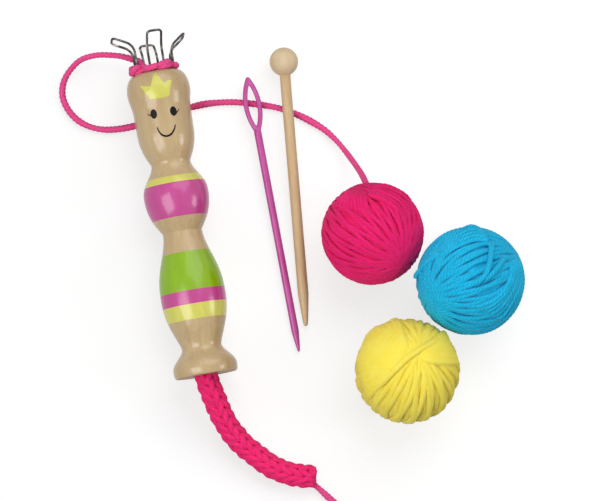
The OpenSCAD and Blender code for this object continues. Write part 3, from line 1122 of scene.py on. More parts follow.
@dataclass
class LoopRing:
    """The four bent wire loops in the head, with their stitches and the strands into the bore.

    A spot of a strand gives its place outward of its stitch's inner side, sideways, and up from the wood.
    """

    finishes: Finishes
    doll: WoodenDoll
    loops: tuple[Loop, ...] = (
        Loop("front", 280, 20.5, 8.5, 50, 0.0, 0.7, 0.17, 0.2),
        Loop("right", 10, 18.5, 8.2, 53, -2.0, 0.3, 0.05, 0.5, 0.6),
        Loop("back", 100, 17.5, 5.5, 40, 0.0, 0.3, 0.05, 0.2),
        Loop("left", 190, 21.0, 10.5, 64, 2.0, 0.8, -0.3, 0.0),
    )
    yarn: PliedYarn = PliedYarn(diameter=3.6)
    strand: PliedYarn = PliedYarn()
    wire: float = 1.3
    width: float = 7.5
    depth: float = 14.0
    bend: float = 7.0
    corner: float = 2.0
    ring_radius: float = 9.548
    wrap: float = 2.05
    clearance: float = 0.1
    leg_points: int = 12
    bend_points: int = 14
    corner_points: int = 10
    wire_sides: int = 12
    stitch_points: int = 73
    squareness: float = 2.2
    uneven: float = 0.25
    uneven_waves: int = 9
    step: float = 0.7
    strand_step: float = 0.8
    strand_spots: tuple[Spot, ...] = (
        (0.0, 2.6, 2.2), (-1.4, 2.0, 1.8), (-2.6, 1.5, -0.6), (-3.3, 1.2, -4.0), (-3.6, 1.2, -8.0)
    )
    web_length: float = 7.0
    working_wrap: tuple[Spot, ...] = (
        (-11.0, 169.9, 11.0), (-9.0, 168.9, 11.2), (-7.9, 168.2, 13.8), (-7.4, 167.2, 17.2),
        (-6.9, 166.0, 20.4), (-5.9, 164.2, 23.6), (-4.6, 162.6, 26.2), (-3.2, 161.8, 27.4),
    )
    turn_over: tuple[Spot, ...] = (
        (-7.0, 163.6, 23.9), (-8.4, 163.3, 25.3), (-9.9, 162.8, 25.9), (-11.0, 162.0, 25.6),
        (-11.8, 161.3, 24.3), (-12.1, 161.0, 22.4), (-11.6, 161.2, 20.4),
    )
    bridge: tuple[Spot, ...] = (
        (-10.9, 161.4, 21.0), (-9.4, 161.4, 22.6), (-7.6, 161.6, 23.8), (-5.4, 161.6, 24.6),
        (-3.0, 161.5, 25.2), (0.0, 161.4, 25.8), (2.6, 161.4, 26.8), (5.0, 161.5, 27.7),
        (7.0, 161.7, 26.6), (8.6, 162.0, 24.2),
    )

    def outward(self, loop: Loop) -> Array:
        """Gives the direction from the doll's axis to a loop."""
        a = math.radians(loop.angle)
        return np.array([math.cos(a), 0.0, -math.sin(a)])

    def placed(self, loop: Loop, local: Array) -> Array:
        """Moves points from a loop's own axes to the head.

        Args:
            loop: The loop.
            local: Outward, sideways and upward place of each point.

        Returns:
            The points in space.
        """
        out = self.outward(loop)
        middle = self.doll.head_top() + out * self.ring_radius
        return middle + local @ np.stack([out, np.cross(Y_AXIS, out), Y_AXIS])

    def half_wire(self, loop: Loop, hand: float) -> Array:
        """Bends half a wire, from its end in the wood to the middle of its top.

        Args:
            loop: The loop.
            hand: Side of the leg, 1 or -1.

        Returns:
            Outward, sideways and upward place of each point.
        """
        lean = math.radians(loop.lean)
        sin, cos = math.sin(lean), math.cos(lean)
        skew = loop.twist / self.width
        leg = self.width / 2
        tip = (loop.reach - self.bend * (1 - cos)) / sin
        top = loop.height - self.wire / 2 - abs(skew) * (leg - self.corner)
        rise = top - self.bend * sin - tip * cos
        start = rise + skew * leg * hand
        straight = np.linspace(-self.depth, start, self.leg_points, endpoint=False)
        points = [(0.0, leg * hand, up) for up in straight]
        for a in np.linspace(0.0, lean, self.bend_points):
            points.append((self.bend * (1 - math.cos(a)), leg * hand, start + self.bend * math.sin(a)))
        for a in np.linspace(0.0, QUARTER, self.corner_points):
            ahead = tip - self.corner * (1 - math.sin(a))
            side = hand * (leg - self.corner * (1 - math.cos(a)))
            out = self.bend * (1 - cos) + ahead * sin
            points.append((out, side, rise + self.bend * sin + ahead * cos + skew * side))
        return np.array(points)

    def build(self) -> None:
        """Builds every loop, its stitch, the strands into the bore and the new wrap of yarn."""
        web = Shape()
        for loop in self.loops:
            self.build_wire(loop)
            self.build_stitch(loop)
            self.add_strands(web, loop)
        self.build_web(web)
        self.build_wrap()

    def build_wire(self, loop: Loop) -> None:
        """Sweeps one round wire along its bends.

        Args:
            loop: The loop.
        """
        local = np.concatenate([self.half_wire(loop, 1.0), self.half_wire(loop, -1.0)[::-1]])
        path = self.placed(loop, local)
        axes = carried_frames(path, self.outward(loop))
        shape = Shape()
        shape.tube(path, axes, self.wire / 2, self.wire_sides, run_of(path))
        piece = shape.build(f"loop_{loop.name}", [self.finishes.steel])
        settle(piece, Body.DOLL, Slot.WIRE, f"wire_loop_{loop.name}")

    def build_stitch(self, loop: Loop) -> None:
        """Lays one stitch round both legs of a loop, a little askew.

        Args:
            loop: The loop.
        """
        angle = np.linspace(0.0, FULL_TURN, self.stitch_points)
        outward = self.wrap * np.cos(angle)
        outward = np.where(outward > 0, loop.hug * outward, outward)
        square = np.clip(np.sin(angle) * self.squareness, -1.0, 1.0)
        sideways = self.wrap * np.sin(angle) + self.width / 2 * square
        sag = loop.droop * np.clip(outward / self.wrap, 0.0, 1.0) ** 2
        upward = self.clearance + self.yarn.diameter / 2 + loop.lift + loop.tilt * sideways - sag
        upward += self.uneven * wander(len(angle), self.uneven_waves, int(loop.angle)) * np.sin(angle / 2)
        path = even(self.placed(loop, np.stack([outward, sideways, upward], axis=1)), self.step)
        shape = Shape()
        self.yarn.add(shape, path, frames(path, Y_AXIS))
        piece = shape.build(f"stitch_loop_{loop.name}", [self.finishes.pink_strand_painted_light])
        settle(piece, Body.DOLL, Slot.PINK_YARN, f"stitch_{loop.name}")

    def add_strands(self, web: Shape, loop: Loop) -> None:
        """Adds the two strands that run from a stitch down to the knitted cord.

        Args:
            web: Shape that takes the strands.
            loop: The loop that holds the stitch.
        """
        for hand in (-1.0, 1.0):
            local = np.array(self.strand_spots) * (1.0, hand, 1.0) - self.wrap * X_AXIS
            path = smooth(self.placed(loop, local), self.strand_step)
            self.strand.add(web, path, carried_frames(path, self.outward(loop)))

    def build_web(self, web: Shape) -> None:
        """Gathers all strands in one piece and bakes its place into its mesh.

        Args:
            web: Shape with all strands.
        """
        piece = web.build("stitch_strands", [self.finishes.pink_yarn])
        top = foot_middle() + self.doll.head_top() * MM
        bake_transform(piece)
        LOG.info("%s: bends between the doll and the cord", piece.name)

    def build_wrap(self) -> None:
        """Lays the working yarn from the left loop to the front one and turns it over the rim."""
        shape = Shape()
        runs = ((self.working_wrap, self.strand), (self.turn_over, self.yarn), (self.bridge, self.strand))
        for stops, yarn in runs:
            path = smooth(stops, self.step)
            yarn.add(shape, path, carried_frames(path, Y_AXIS))
        settle(shape.build("working_wrap", [self.finishes.pink_strand_painted_light]), Body.DOLL, Slot.PINK_YARN)


@dataclass(frozen=True)
class KnitTube:
    """A tube of knitted stitches: one strand that spirals round the middle of a cord."""

    columns: int = 4
    row: float = 5.6
    middle: float = 4.05
    depth: float = 0.85
    loop: float = 4.7
    lean: float = 0.25
    strand: PliedYarn = PliedYarn(diameter=3.35, lay=12.0, swell=0.08)
    core: float = 3.7
    turn: float = 52.0
    end_inset: float = 1.6
    end_length: float = 6.0
    end_narrow: float = 0.14
    end_turns: float = 2.0
    end_points: int = 90
    end_hole: float = 0.6
    core_sides: int = 14
    core_scale: float = 10.0

    def add_stitches(self, shape: Shape, spine: Array, start: float, end: float, samples: int) -> None:
        """Knits a stretch of a cord.

        Args:
            shape: Shape that takes the strand.
            spine: Middle line of the whole cord, from its closed end.
            start: Where the stretch starts along the middle line.
            end: Where it ends.
            samples: Points for each stitch.
        """
        side, lift = frames(spine, Z_AXIS)
        run = run_of(spine)
        turns = self.columns / self.row
        row = np.linspace(start, end, int(samples * turns * (end - start)))
        t = FULL_TURN * turns * row
        stitch = t / FULL_TURN + self.lean * np.sin(2 * t)
        angle = math.radians(self.turn) + FULL_TURN * stitch / self.columns
        place = np.clip(row - self.loop * np.cos(t), self.end_inset, run[-1] - self.end_inset)
        radius = self.middle - self.depth * np.cos(2 * t)
        radius *= 1 - self.end_narrow * np.clip(1 - place / self.end_length, 0.0, 1.0) ** 2
        middle, sideways, upward = (between(place, run, rows) for rows in (spine, side, lift))
        spoke = spokes(angle, sideways, upward)
        path = middle + radius[:, None] * spoke
        self.strand.add(shape, path, frames(path, spoke))

    def add_core(self, shape: Shape, spine: Array) -> None:
        """Fills the inside of a stretch, so that nothing shows between the stitches."""
        run = run_of(spine) / self.core_scale
        shape.tube(spine, frames(spine, Z_AXIS), self.core, self.core_sides, run)

    def add_end(self, shape: Shape, spine: Array) -> None:
        """Draws the yarn together in a domed coil that closes the end of the cord.

        Args:
            shape: Shape that takes the strand.
            spine: Middle line of the cord, from its closed end.
        """
        side, lift = frames(spine, Z_AXIS)
        ahead = unit(spine[1] - spine[0])
        share = np.linspace(0.0, 1.0, self.end_points)
        radius = (1 - self.end_narrow) * self.middle * (1 - share) + self.end_hole * share
        spoke = spokes(FULL_TURN * self.end_turns * share, side[0], lift[0])
        place = self.end_inset * (2 - share)
        path = spine[0] + place[:, None] * ahead + radius[:, None] * spoke
        self.strand.add(shape, path, frames(path, ahead))


@dataclass
class KnittedCord:
    """The knitted cord: the stretch in the bore, the free stretch and its yarn end.

    A spot of the cord's route gives its height as a share of the drop from the doll's axis to the table,
    and a spot of the yarn end's the clearance under it. The yarn end starts inside the cord's closed end.
    """

    finishes: Finishes
    doll: WoodenDoll
    diameter: float = 13.0
    inset: float = 2.0
    step: float = 1.0
    tail_step: float = 0.8
    core_gap: int = 2
    free_samples: int = 28
    inner_samples: int = 16
    knit: KnitTube = KnitTube()
    yarn: PliedYarn = PliedYarn(diameter=3.4, swell=0.16)
    route: tuple[Spot, ...] = (
        (0, 2, 1), (0, -3, 1), (1.2, -9, 0.97), (2, -12.5, 0.91), (2.8, -16, 0.82), (3.8, -20, 0.7),
        (5, -24, 0.56), (7, -29, 0.4), (9.7, -34, 0.25), (13, -39, 0.13), (17, -43.5, 0.06), (23, -50, 0),
        (30, -55.3, 0), (37.5, -58.7, 0), (47.5, -61.4, 0),
    )
    tail_route: tuple[Spot, ...] = (
        (43.4, -63.2, 4.2), (44.8, -64.3, 2.8), (46.2, -65.6, 1.6), (47.4, -67, 0.7), (49.1, -69.2, 0.2),
        (50.8, -71.4, 0), (52.3, -73.4, 0), (54, -75.2, 0), (56.1, -77.2, 0), (58.5, -79, 0),
        (61.1, -80.5, 0), (64, -81.5, 0), (67, -82.1, 0), (70, -82.3, 0), (73, -82.1, 0), (76, -81.5, 0),
    )

    def free_spine(self) -> Array:
        """Runs the middle line of the free cord from the doll's axis down to the table.

        Returns:
            Its points, from inside the foot to the closed end.
        """
        rest = self.diameter / 2
        drop = self.doll.axis_height() - rest
        return smooth([(x, y, rest + drop * share) for x, y, share in self.route], self.step)

    def build(self) -> None:
        """Knits both stretches as one cord and lays the yarn end."""
        free = self.free_spine()
        last = self.doll.length - self.inset
        stops = np.arange(self.inset + self.step, last + self.step / 2, self.step)
        inner = np.stack([0 * stops, stops, 0 * stops + self.doll.axis_height()], axis=1)
        self.build_free(free, inner)
        self.build_inner(free, inner)
        self.build_tail()

    def build_free(self, free: Array, inner: Array) -> None:
        """Knits the free stretch and closes its end.

        Args:
            free: Middle line of the free stretch, from the foot.
            inner: Middle line of the stretch in the bore, from the foot.
        """
        shape = Shape()
        whole = np.concatenate([free[::-1], inner])
        length = float(run_of(free)[-1])
        self.knit.add_stitches(shape, whole, self.knit.end_inset, length, self.free_samples)
        self.knit.add_end(shape, free[::-1])
        self.knit.add_core(shape, free[: -self.core_gap])
        piece = shape.build("knitted_cord_free", [self.finishes.pink_knit_painted_light])
        settle(piece, Body.CORD, Slot.PINK_YARN, "knitted_cord")

    def build_inner(self, free: Array, inner: Array) -> None:
        """Knits on through the bore, with fewer points.

        Args:
            free: Middle line of the free stretch, from the foot.
            inner: Middle line of the stretch in the bore, from the foot.
        """
        shape = Shape()
        whole = np.concatenate([free[::-1], inner])
        start = float(run_of(free)[-1])
        end = float(run_of(whole)[-1]) - self.knit.loop
        self.knit.add_stitches(shape, whole, start, end, self.inner_samples)
        self.knit.add_core(shape, inner)
        piece = shape.build("knitted_cord_in_bore", [self.finishes.pink_knit_painted_light])
        settle(piece, Body.CORD, Slot.PINK_YARN, "cord_in_bore")

    def build_tail(self) -> None:
        """Lays the yarn end that leaves the closed end of the cord."""
        half = self.yarn.diameter / 2
        path = smooth([(x, y, under + half) for x, y, under in self.tail_route], self.tail_step)
        shape = Shape()
        self.yarn.add(shape, path, frames(path, Z_AXIS))
        piece = shape.build("yarn_end", [self.finishes.pink_strand_painted_light])
        settle(piece, Body.CORD, Slot.PINK_YARN, "cord_tail")


@dataclass
class WorkingYarn:
    """The yarn from the left loop, under the doll's head and the tools, to the pink ball.

    Each spot gives its place, the clearance under the yarn, and how far the yarn is pressed flat there.
    """

    finishes: Finishes
    yarn: PliedYarn = PliedYarn(diameter=3.5, swell=0.16)
    step: float = 0.8
    route: tuple[Pressed, ...] = (
        (-9, 168.9, 9.2, 0), (-12.6, 170.7, 9.6, 0), (-17, 172.5, 10, 0), (-21.8, 173.8, 9.8, 0),
        (-26.8, 174.9, 8.8, 0), (-32.2, 175.3, 6.9, 0), (-37.9, 174.5, 4.2, 0), (-43, 171.5, 2, 0),
        (-47, 167.5, 0.7, 0), (-49.5, 162.7, 0.1, 0),
        (-50.3, 157.8, 0, 0), (-49.4, 152.5, 0, 0), (-47, 147.3, 0, 0), (-43.5, 143, 0, 0),
        (-38.8, 139.6, 0, 0), (-32.3, 137, 0, 0), (-24.5, 135.9, 0, 0), (-16.6, 136, 0, 0),
        (-10, 136.8, 0, 0.1), (-5.5, 137.5, 0, 0.6),
        (-2, 138.1, 0, 1), (2, 138.8, 0, 1), (5.5, 139.5, 0, 0.6), (10, 140.3, 0, 0.3), (15.5, 140.9, 0, 0.3),
        (22.8, 141.3, 0, 0.3), (30.7, 140.8, 0, 0.3), (38.5, 139.6, 0, 0.3), (45, 137.9, 0, 0.3),
        (52.2, 135.8, 0, 0.3), (61.1, 132.4, 0, 0.3), (69.3, 127.8, 0, 0.25), (76.4, 122.6, 0, 0.15),
        (82.8, 116.7, 0.1, 0.05), (87.6, 110.2, 1.2, 0),
        (91.1, 103.7, 4, 0), (93.8, 97.8, 8.1, 0), (95.7, 93, 12.9, 0), (97, 89, 17.7, 0),
        (97.9, 85.1, 22.2, 0),
    )
    tucked: tuple[Pressed, ...] = ((98.3, 82.8, 24.2, 0), (98.6, 80.4, 25.2, 0))

    def build(self) -> None:
        """Lays the yarn along its route, pressed flat under the head."""
        half = self.yarn.diameter / 2
        flat = half * self.yarn.flatten
        spots = (*self.route, *self.tucked)
        line = smooth([(x, y, under + half - flat * press, press) for x, y, under, press in spots], self.step)
        path, press = line[:, :3], np.clip(line[:, 3], 0.0, 1.0)
        shape = Shape()
        self.yarn.add(shape, path, frames(path, Z_AXIS), press)
        piece = shape.build("working_yarn_run", [self.finishes.pink_strand_painted_light])
        settle(piece, Body.DOLL, Slot.PINK_YARN, "working_yarn")


@dataclass(frozen=True)
class Fan:
    """A run of wraps round a ball that all pass by two poles, each given by its turn and its rise."""

    near: Pair
    far: Pair
    wraps: int
    inset: float
    first: float = 0.0
    last: float = 360.0
    clear: float = 6.0


@dataclass(frozen=True)
class Bundle:
    """Strands side by side over the wraps, where the photograph shows them.

    They spread evenly from the first guide to the last. Each spot of a guide gives its place right
    and up of the ball's middle, as shares of the radius, and the lift over the wraps in millimetres. A
    spot past the rim lies that much further round the ball.
    """

    guides: tuple[tuple[Spot, ...], ...]
    strands: int = 1
    step: float = 0.25

    def lines(self) -> list[Array]:
        """Spreads the strands between the guides, every second one a little higher.

        Returns:
            The spots of each strand.
        """
        guides = np.array(self.guides)
        lines = []
        for number, place in enumerate(np.linspace(0.0, len(guides) - 1, self.strands)):
            before = min(int(place), max(0, len(guides) - 2))
            after = min(before + 1, len(guides) - 1)
            line = guides[before] + (guides[after] - guides[before]) * (place - before)
            line[:, 2] += self.step * (number % 2)
            lines.append(line)
        return lines


@dataclass
class YarnBall:
    """A hand-wound ball: fans of wraps and bundles of strands over a wound core."""

    name: str
    core: str
    winding: str
    body: Body
    slot: Slot
    material: Material
    fans: tuple[Fan, ...]
    bundles: tuple[Bundle, ...]
    yarn: PliedYarn
    core_inset: float
    core_rings: int = 19
    core_sides: int = 36
    core_pole: float = 0.01
    upright: float = 0.9
    wrap_points: int = 110
    uneven: float = 0.2
    uneven_waves: int = 3
    swing: float = 0.6
    sink: float = 0.2
    sink_waves: int = 4
    seed_step: int = 10
    wrap_step: float = 1.1
    bundle_step: float = 1.0

    def centre(self) -> Array:
        """Gives the ball's middle, in millimetres from the middle of the doll's foot."""
        low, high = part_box(self.core)
        return (np.array((low + high) / 2) - foot_middle()) / MM

    def wraps(self, fan: Fan, radius: float, seed: int) -> Array:
        """Winds one fan about the ball's middle.

        Args:
            fan: The fan.
            radius: Outer radius of the ball.
            seed: Seed of its unevenness.

        Returns:
            Points of the strand, from the ball's middle.
        """
        near, far = pointing(*fan.near), pointing(*fan.far)
        axis, passing = unit(near - far), (near + far) / 2
        first = unit(np.cross(axis, Z_AXIS if abs(axis[2]) < self.upright else Y_AXIS))
        count = fan.wraps * self.wrap_points
        t = np.linspace(0.0, FULL_TURN * fan.wraps, count)
        gap = self.uneven * (fan.last - fan.first) / fan.wraps
        shift = gap * wander(count, fan.wraps * self.uneven_waves, seed)
        tilt = np.radians(np.linspace(fan.first, fan.last, count) + shift)
        clear = np.radians(fan.clear * (1 + self.swing * wander(count, fan.wraps, seed + 1)))
        flat = spokes(tilt, first, np.cross(axis, first))
        normal = spokes(clear, flat, axis)
        ahead = unit(axis - (normal @ axis)[:, None] * normal)
        sunk = self.sink - self.sink * wander(count, fan.wraps * self.sink_waves, seed + 2)
        reach = radius - fan.inset - self.yarn.diameter / 2 - sunk
        away = reach * (flat @ passing)
        circle = spokes(t, ahead, np.cross(normal, ahead))
        return away[:, None] * normal + np.sqrt(reach**2 - away**2)[:, None] * circle

    def on_ball(self, radius: float, spots: Array) -> Array:
        """Finds the middle of a strand that lies on the ball.

        Args:
            radius: Outer radius of the ball.
            spots: Places right and up of the middle, and lifts.

        Returns:
            The points, from the ball's middle.
        """
        right, up, toward = view_axes()
        share = np.linalg.norm(spots[:, :2], axis=1)
        past = np.maximum(0.0, share - 1.0)
        spread = spots[:, :2] * (np.cos(past) / np.maximum(share, 1.0))[:, None]
        height = np.sqrt(np.maximum(0.0, 1.0 - share**2)) - np.sin(past)
        outward = spread[:, :1] * right + spread[:, 1:] * up + height[:, None] * toward
        return unit(outward) * (radius - self.yarn.diameter / 2 + spots[:, 2:])

    def build(self) -> None:
        """Winds every fan over the core and lays the bundles."""
        middle = self.centre()
        radius = middle[2]
        shape = Shape()
        bend = np.linspace(-QUARTER, QUARTER, self.core_rings)
        ball = np.stack([np.sin(bend), np.maximum(np.cos(bend), self.core_pole)], axis=1)
        ball *= radius - self.core_inset
        shape.rings(turn_on_axis(ball, middle, (X_AXIS, Z_AXIS, Y_AXIS), self.core_sides), bend)
        paths = []
        for number, fan in enumerate(self.fans):
            seed = self.seed_step * number + len(self.name)
            paths.append(even(self.wraps(fan, radius, seed), self.wrap_step))
        for bundle in self.bundles:
            paths += [smooth(self.on_ball(radius, line), self.bundle_step) for line in bundle.lines()]
        for path in paths:
            self.yarn.add(shape, path + middle, frames(path, path))
        settle(shape.build(self.name, [self.material]), self.body, self.slot, self.core, self.winding)


@dataclass(frozen=True)
class Placement:
    """Where a straight tool lies: its tip, its tilt from the table and its turn on it."""

    tip: Spot
    tilt: float
    turn: float

    def axes(self) -> tuple[Array, Array, Array]:
        """Finds the tool's sideways, lengthwise and upward directions."""
        side, along = turned(self.turn), pointing(self.turn + 90, self.tilt)
        return side, along, np.cross(side, along)

    def turned_on(self, outline: Array, sides: int) -> Array:
        """Turns an outline on the tool's axis."""
        return turn_on_axis(outline, np.array(self.tip), self.axes(), sides)


@dataclass
class YarnNeedle:
    """The moulded needle with its long eye."""

    finishes: Finishes
    place: Placement = Placement((49.5, 4.6, 1.736), 1.374, 1.0)
    length: float = 146.7
    shaft: float = 4.0
    shaft_sides: int = 24
    point: float = 11.0
    end: float = 1.2
    end_angle: float = 0.2
    end_rings: int = 5
    taper_start: float = 1.5
    taper: float = 0.85
    taper_rings: int = 9
    shaft_start: float = 17.0
    shaft_rings: int = 20
    neck_angle: float = 0.3
    eye: float = 29.5
    eye_gap: float = 4.4
    eye_points: int = 48
    limb: float = 2.6
    limb_sides: int = 16
    top_angle: float = 1.5
    top_rings: int = 13
    grain: float = 0.3
    softness: float = 0.5
    soft_rounds: int = 4

    def build(self) -> None:
        """Joins the shaft and the limbs of the eye and rounds their meeting."""
        shape = Shape()
        self.add_shaft(shape)
        self.add_eye(shape)
        piece = shape.build("needle", [self.finishes.plastic])
        self.melt(piece)
        settle(piece, Body.NEEDLE, Slot.PLASTIC, "yarn_needle")

    def add_shaft(self, shape: Shape) -> None:
        """Turns the shaft with its point, up to the foot of the eye.

        Args:
            shape: Shape that takes the shaft.
        """
        small, full = self.end / 2, self.shaft / 2
        neck = self.length - self.eye
        outline = rounded_end(small, small, np.linspace(self.end_angle - QUARTER, 0.0, self.end_rings))
        for y in np.linspace(self.taper_start, self.point, self.taper_rings):
            outline.append((y, small + (full - small) * (y / self.point) ** self.taper))
        outline += [(y, full) for y in np.linspace(self.shaft_start, neck, self.shaft_rings)]
        outline += rounded_end(neck, full, np.linspace(self.neck_angle, QUARTER, self.end_rings))
        rings = np.array(outline)
        shape.rings(self.place.turned_on(rings, self.shaft_sides), rings[:, 0])

    def add_eye(self, shape: Shape) -> None:
        """Bends both limbs of the eye and rounds their end.

        Args:
            shape: Shape that takes the eye.
        """
        side, along, up = self.place.axes()
        neck = self.length - self.eye
        half = self.limb / 2
        rise = self.eye_gap / 2 + half
        chord = self.eye - half
        arc = ((chord / 2) ** 2 + rise**2) / (2 * rise)
        reach = math.asin(chord / 2 / arc)
        angle = np.linspace(-reach, reach, self.eye_points)
        ahead = neck + chord / 2 + arc * np.sin(angle)
        for hand in (-1.0, 1.0):
            across = hand * (rise - arc * (1 - np.cos(angle)))
            path = np.array(self.place.tip) + across[:, None] * side + ahead[:, None] * along
            shape.tube(path, frames(path, up), half, self.limb_sides, run_of(path))
        bend = np.linspace(-self.top_angle, self.top_angle, self.top_rings)
        top = np.array(rounded_end(neck + chord, half, bend))
        shape.rings(self.place.turned_on(top, self.limb_sides), top[:, 0])

    def melt(self, piece: Piece) -> None:
        """Makes one moulded skin of the joined parts and softens their meeting.

        Args:
            piece: The needle.
        """
        skin = piece.modifiers.new("skin", "REMESH")
        skin.mode = "VOXEL"
        skin.voxel_size = self.grain * MM
        soft = piece.modifiers.new("soft", "SMOOTH")
        soft.factor = self.softness
        soft.iterations = self.soft_rounds
        graph = bpy.context.evaluated_depsgraph_get()
        mesh = bpy.data.meshes.new_from_object(piece.evaluated_get(graph))
        piece.modifiers.clear()
        mesh.shade_smooth()
        piece.data = mesh


@dataclass
class Pick:
    """The wooden pick: its sharpened shaft and its bead."""

    finishes: Finishes
    place: Placement = Placement((55.3, 17.3, 2.145), 2.21, -4.9)
    length: float = 139.0
    shaft: float = 5.6
    sides: int = 48
    edge_angle: float = 50.0
    grain_scale: float = 10.0
    point: float = 17.0
    end: float = 2.2
    end_angle: float = 0.15
    end_rings: int = 7
    taper_start: float = 1.8
    taper: float = 0.8
    taper_rings: int = 16
    shaft_start: float = 21.0
    shaft_rings: int = 28
    bead: float = 15.0
    bead_rings: int = 40
    bead_top: float = 0.03
    hole: float = 10.0
    hole_edge: float = 0.4
    seat: tuple[Pair, ...] = ((2.0, 0.0), (0.15, 0.05))

    def build(self) -> None:
        """Turns the shaft and the bead."""
        self.build_shaft()
        self.build_bead()

    def turned_piece(self, outline: Array, name: str, material: Material) -> Piece:
        """Turns an outline on the pick's axis.

        Args:
            outline: Distance from the tip and radius of each ring.
            name: Name of the piece.
            material: Its material.

        Returns:
            The piece.
        """
        shape = Shape()
        shape.rings(self.place.turned_on(outline, self.sides), outline[:, 0] / self.grain_scale)
        return shape.build(name, [material], self.edge_angle)

    def build_shaft(self) -> None:
        """Turns the shaft with its cut point."""
        small, full = self.end / 2, self.shaft / 2
        outline = rounded_end(small, small, np.linspace(self.end_angle - QUARTER, 0.0, self.end_rings))
        for y in np.linspace(self.taper_start, self.point, self.taper_rings):
            share = (y - small) / (self.point - small)
            outline.append((y, small + (full - small) * share**self.taper))
        last = self.length - self.bead / 2 + self.hole
        outline += [(y, full) for y in np.linspace(self.shaft_start, last, self.shaft_rings)]
        piece = self.turned_piece(np.array(outline), "pick_stick", self.finishes.pick_wood)
        settle(piece, Body.PICK, Slot.PICK_WOOD, "pick_shaft")

    def build_bead(self) -> None:
        """Turns the bead, flat round its hole."""
        radius, hole = self.bead / 2, self.shaft / 2
        start = math.asin((hole + self.hole_edge) / radius)
        angle = np.linspace(start, math.pi - self.bead_top, self.bead_rings)
        ball = np.stack([self.length - radius * np.cos(angle), radius * np.sin(angle)], axis=1)
        seat = np.array(self.seat) + (ball[0, 0], hole)
        piece = self.turned_piece(np.concatenate([seat, ball]), "bead", self.finishes.bead_wood)
        settle(piece, Body.PICK, Slot.BEAD_WOOD, "pick_bead")


@dataclass(frozen=True)
class Lamp:
    """A square soft lamp that faces the set: its place and side in metres and its power in watts."""

    name: str
    place: Spot
    side: float
    watts: float
    lights_table: bool = True


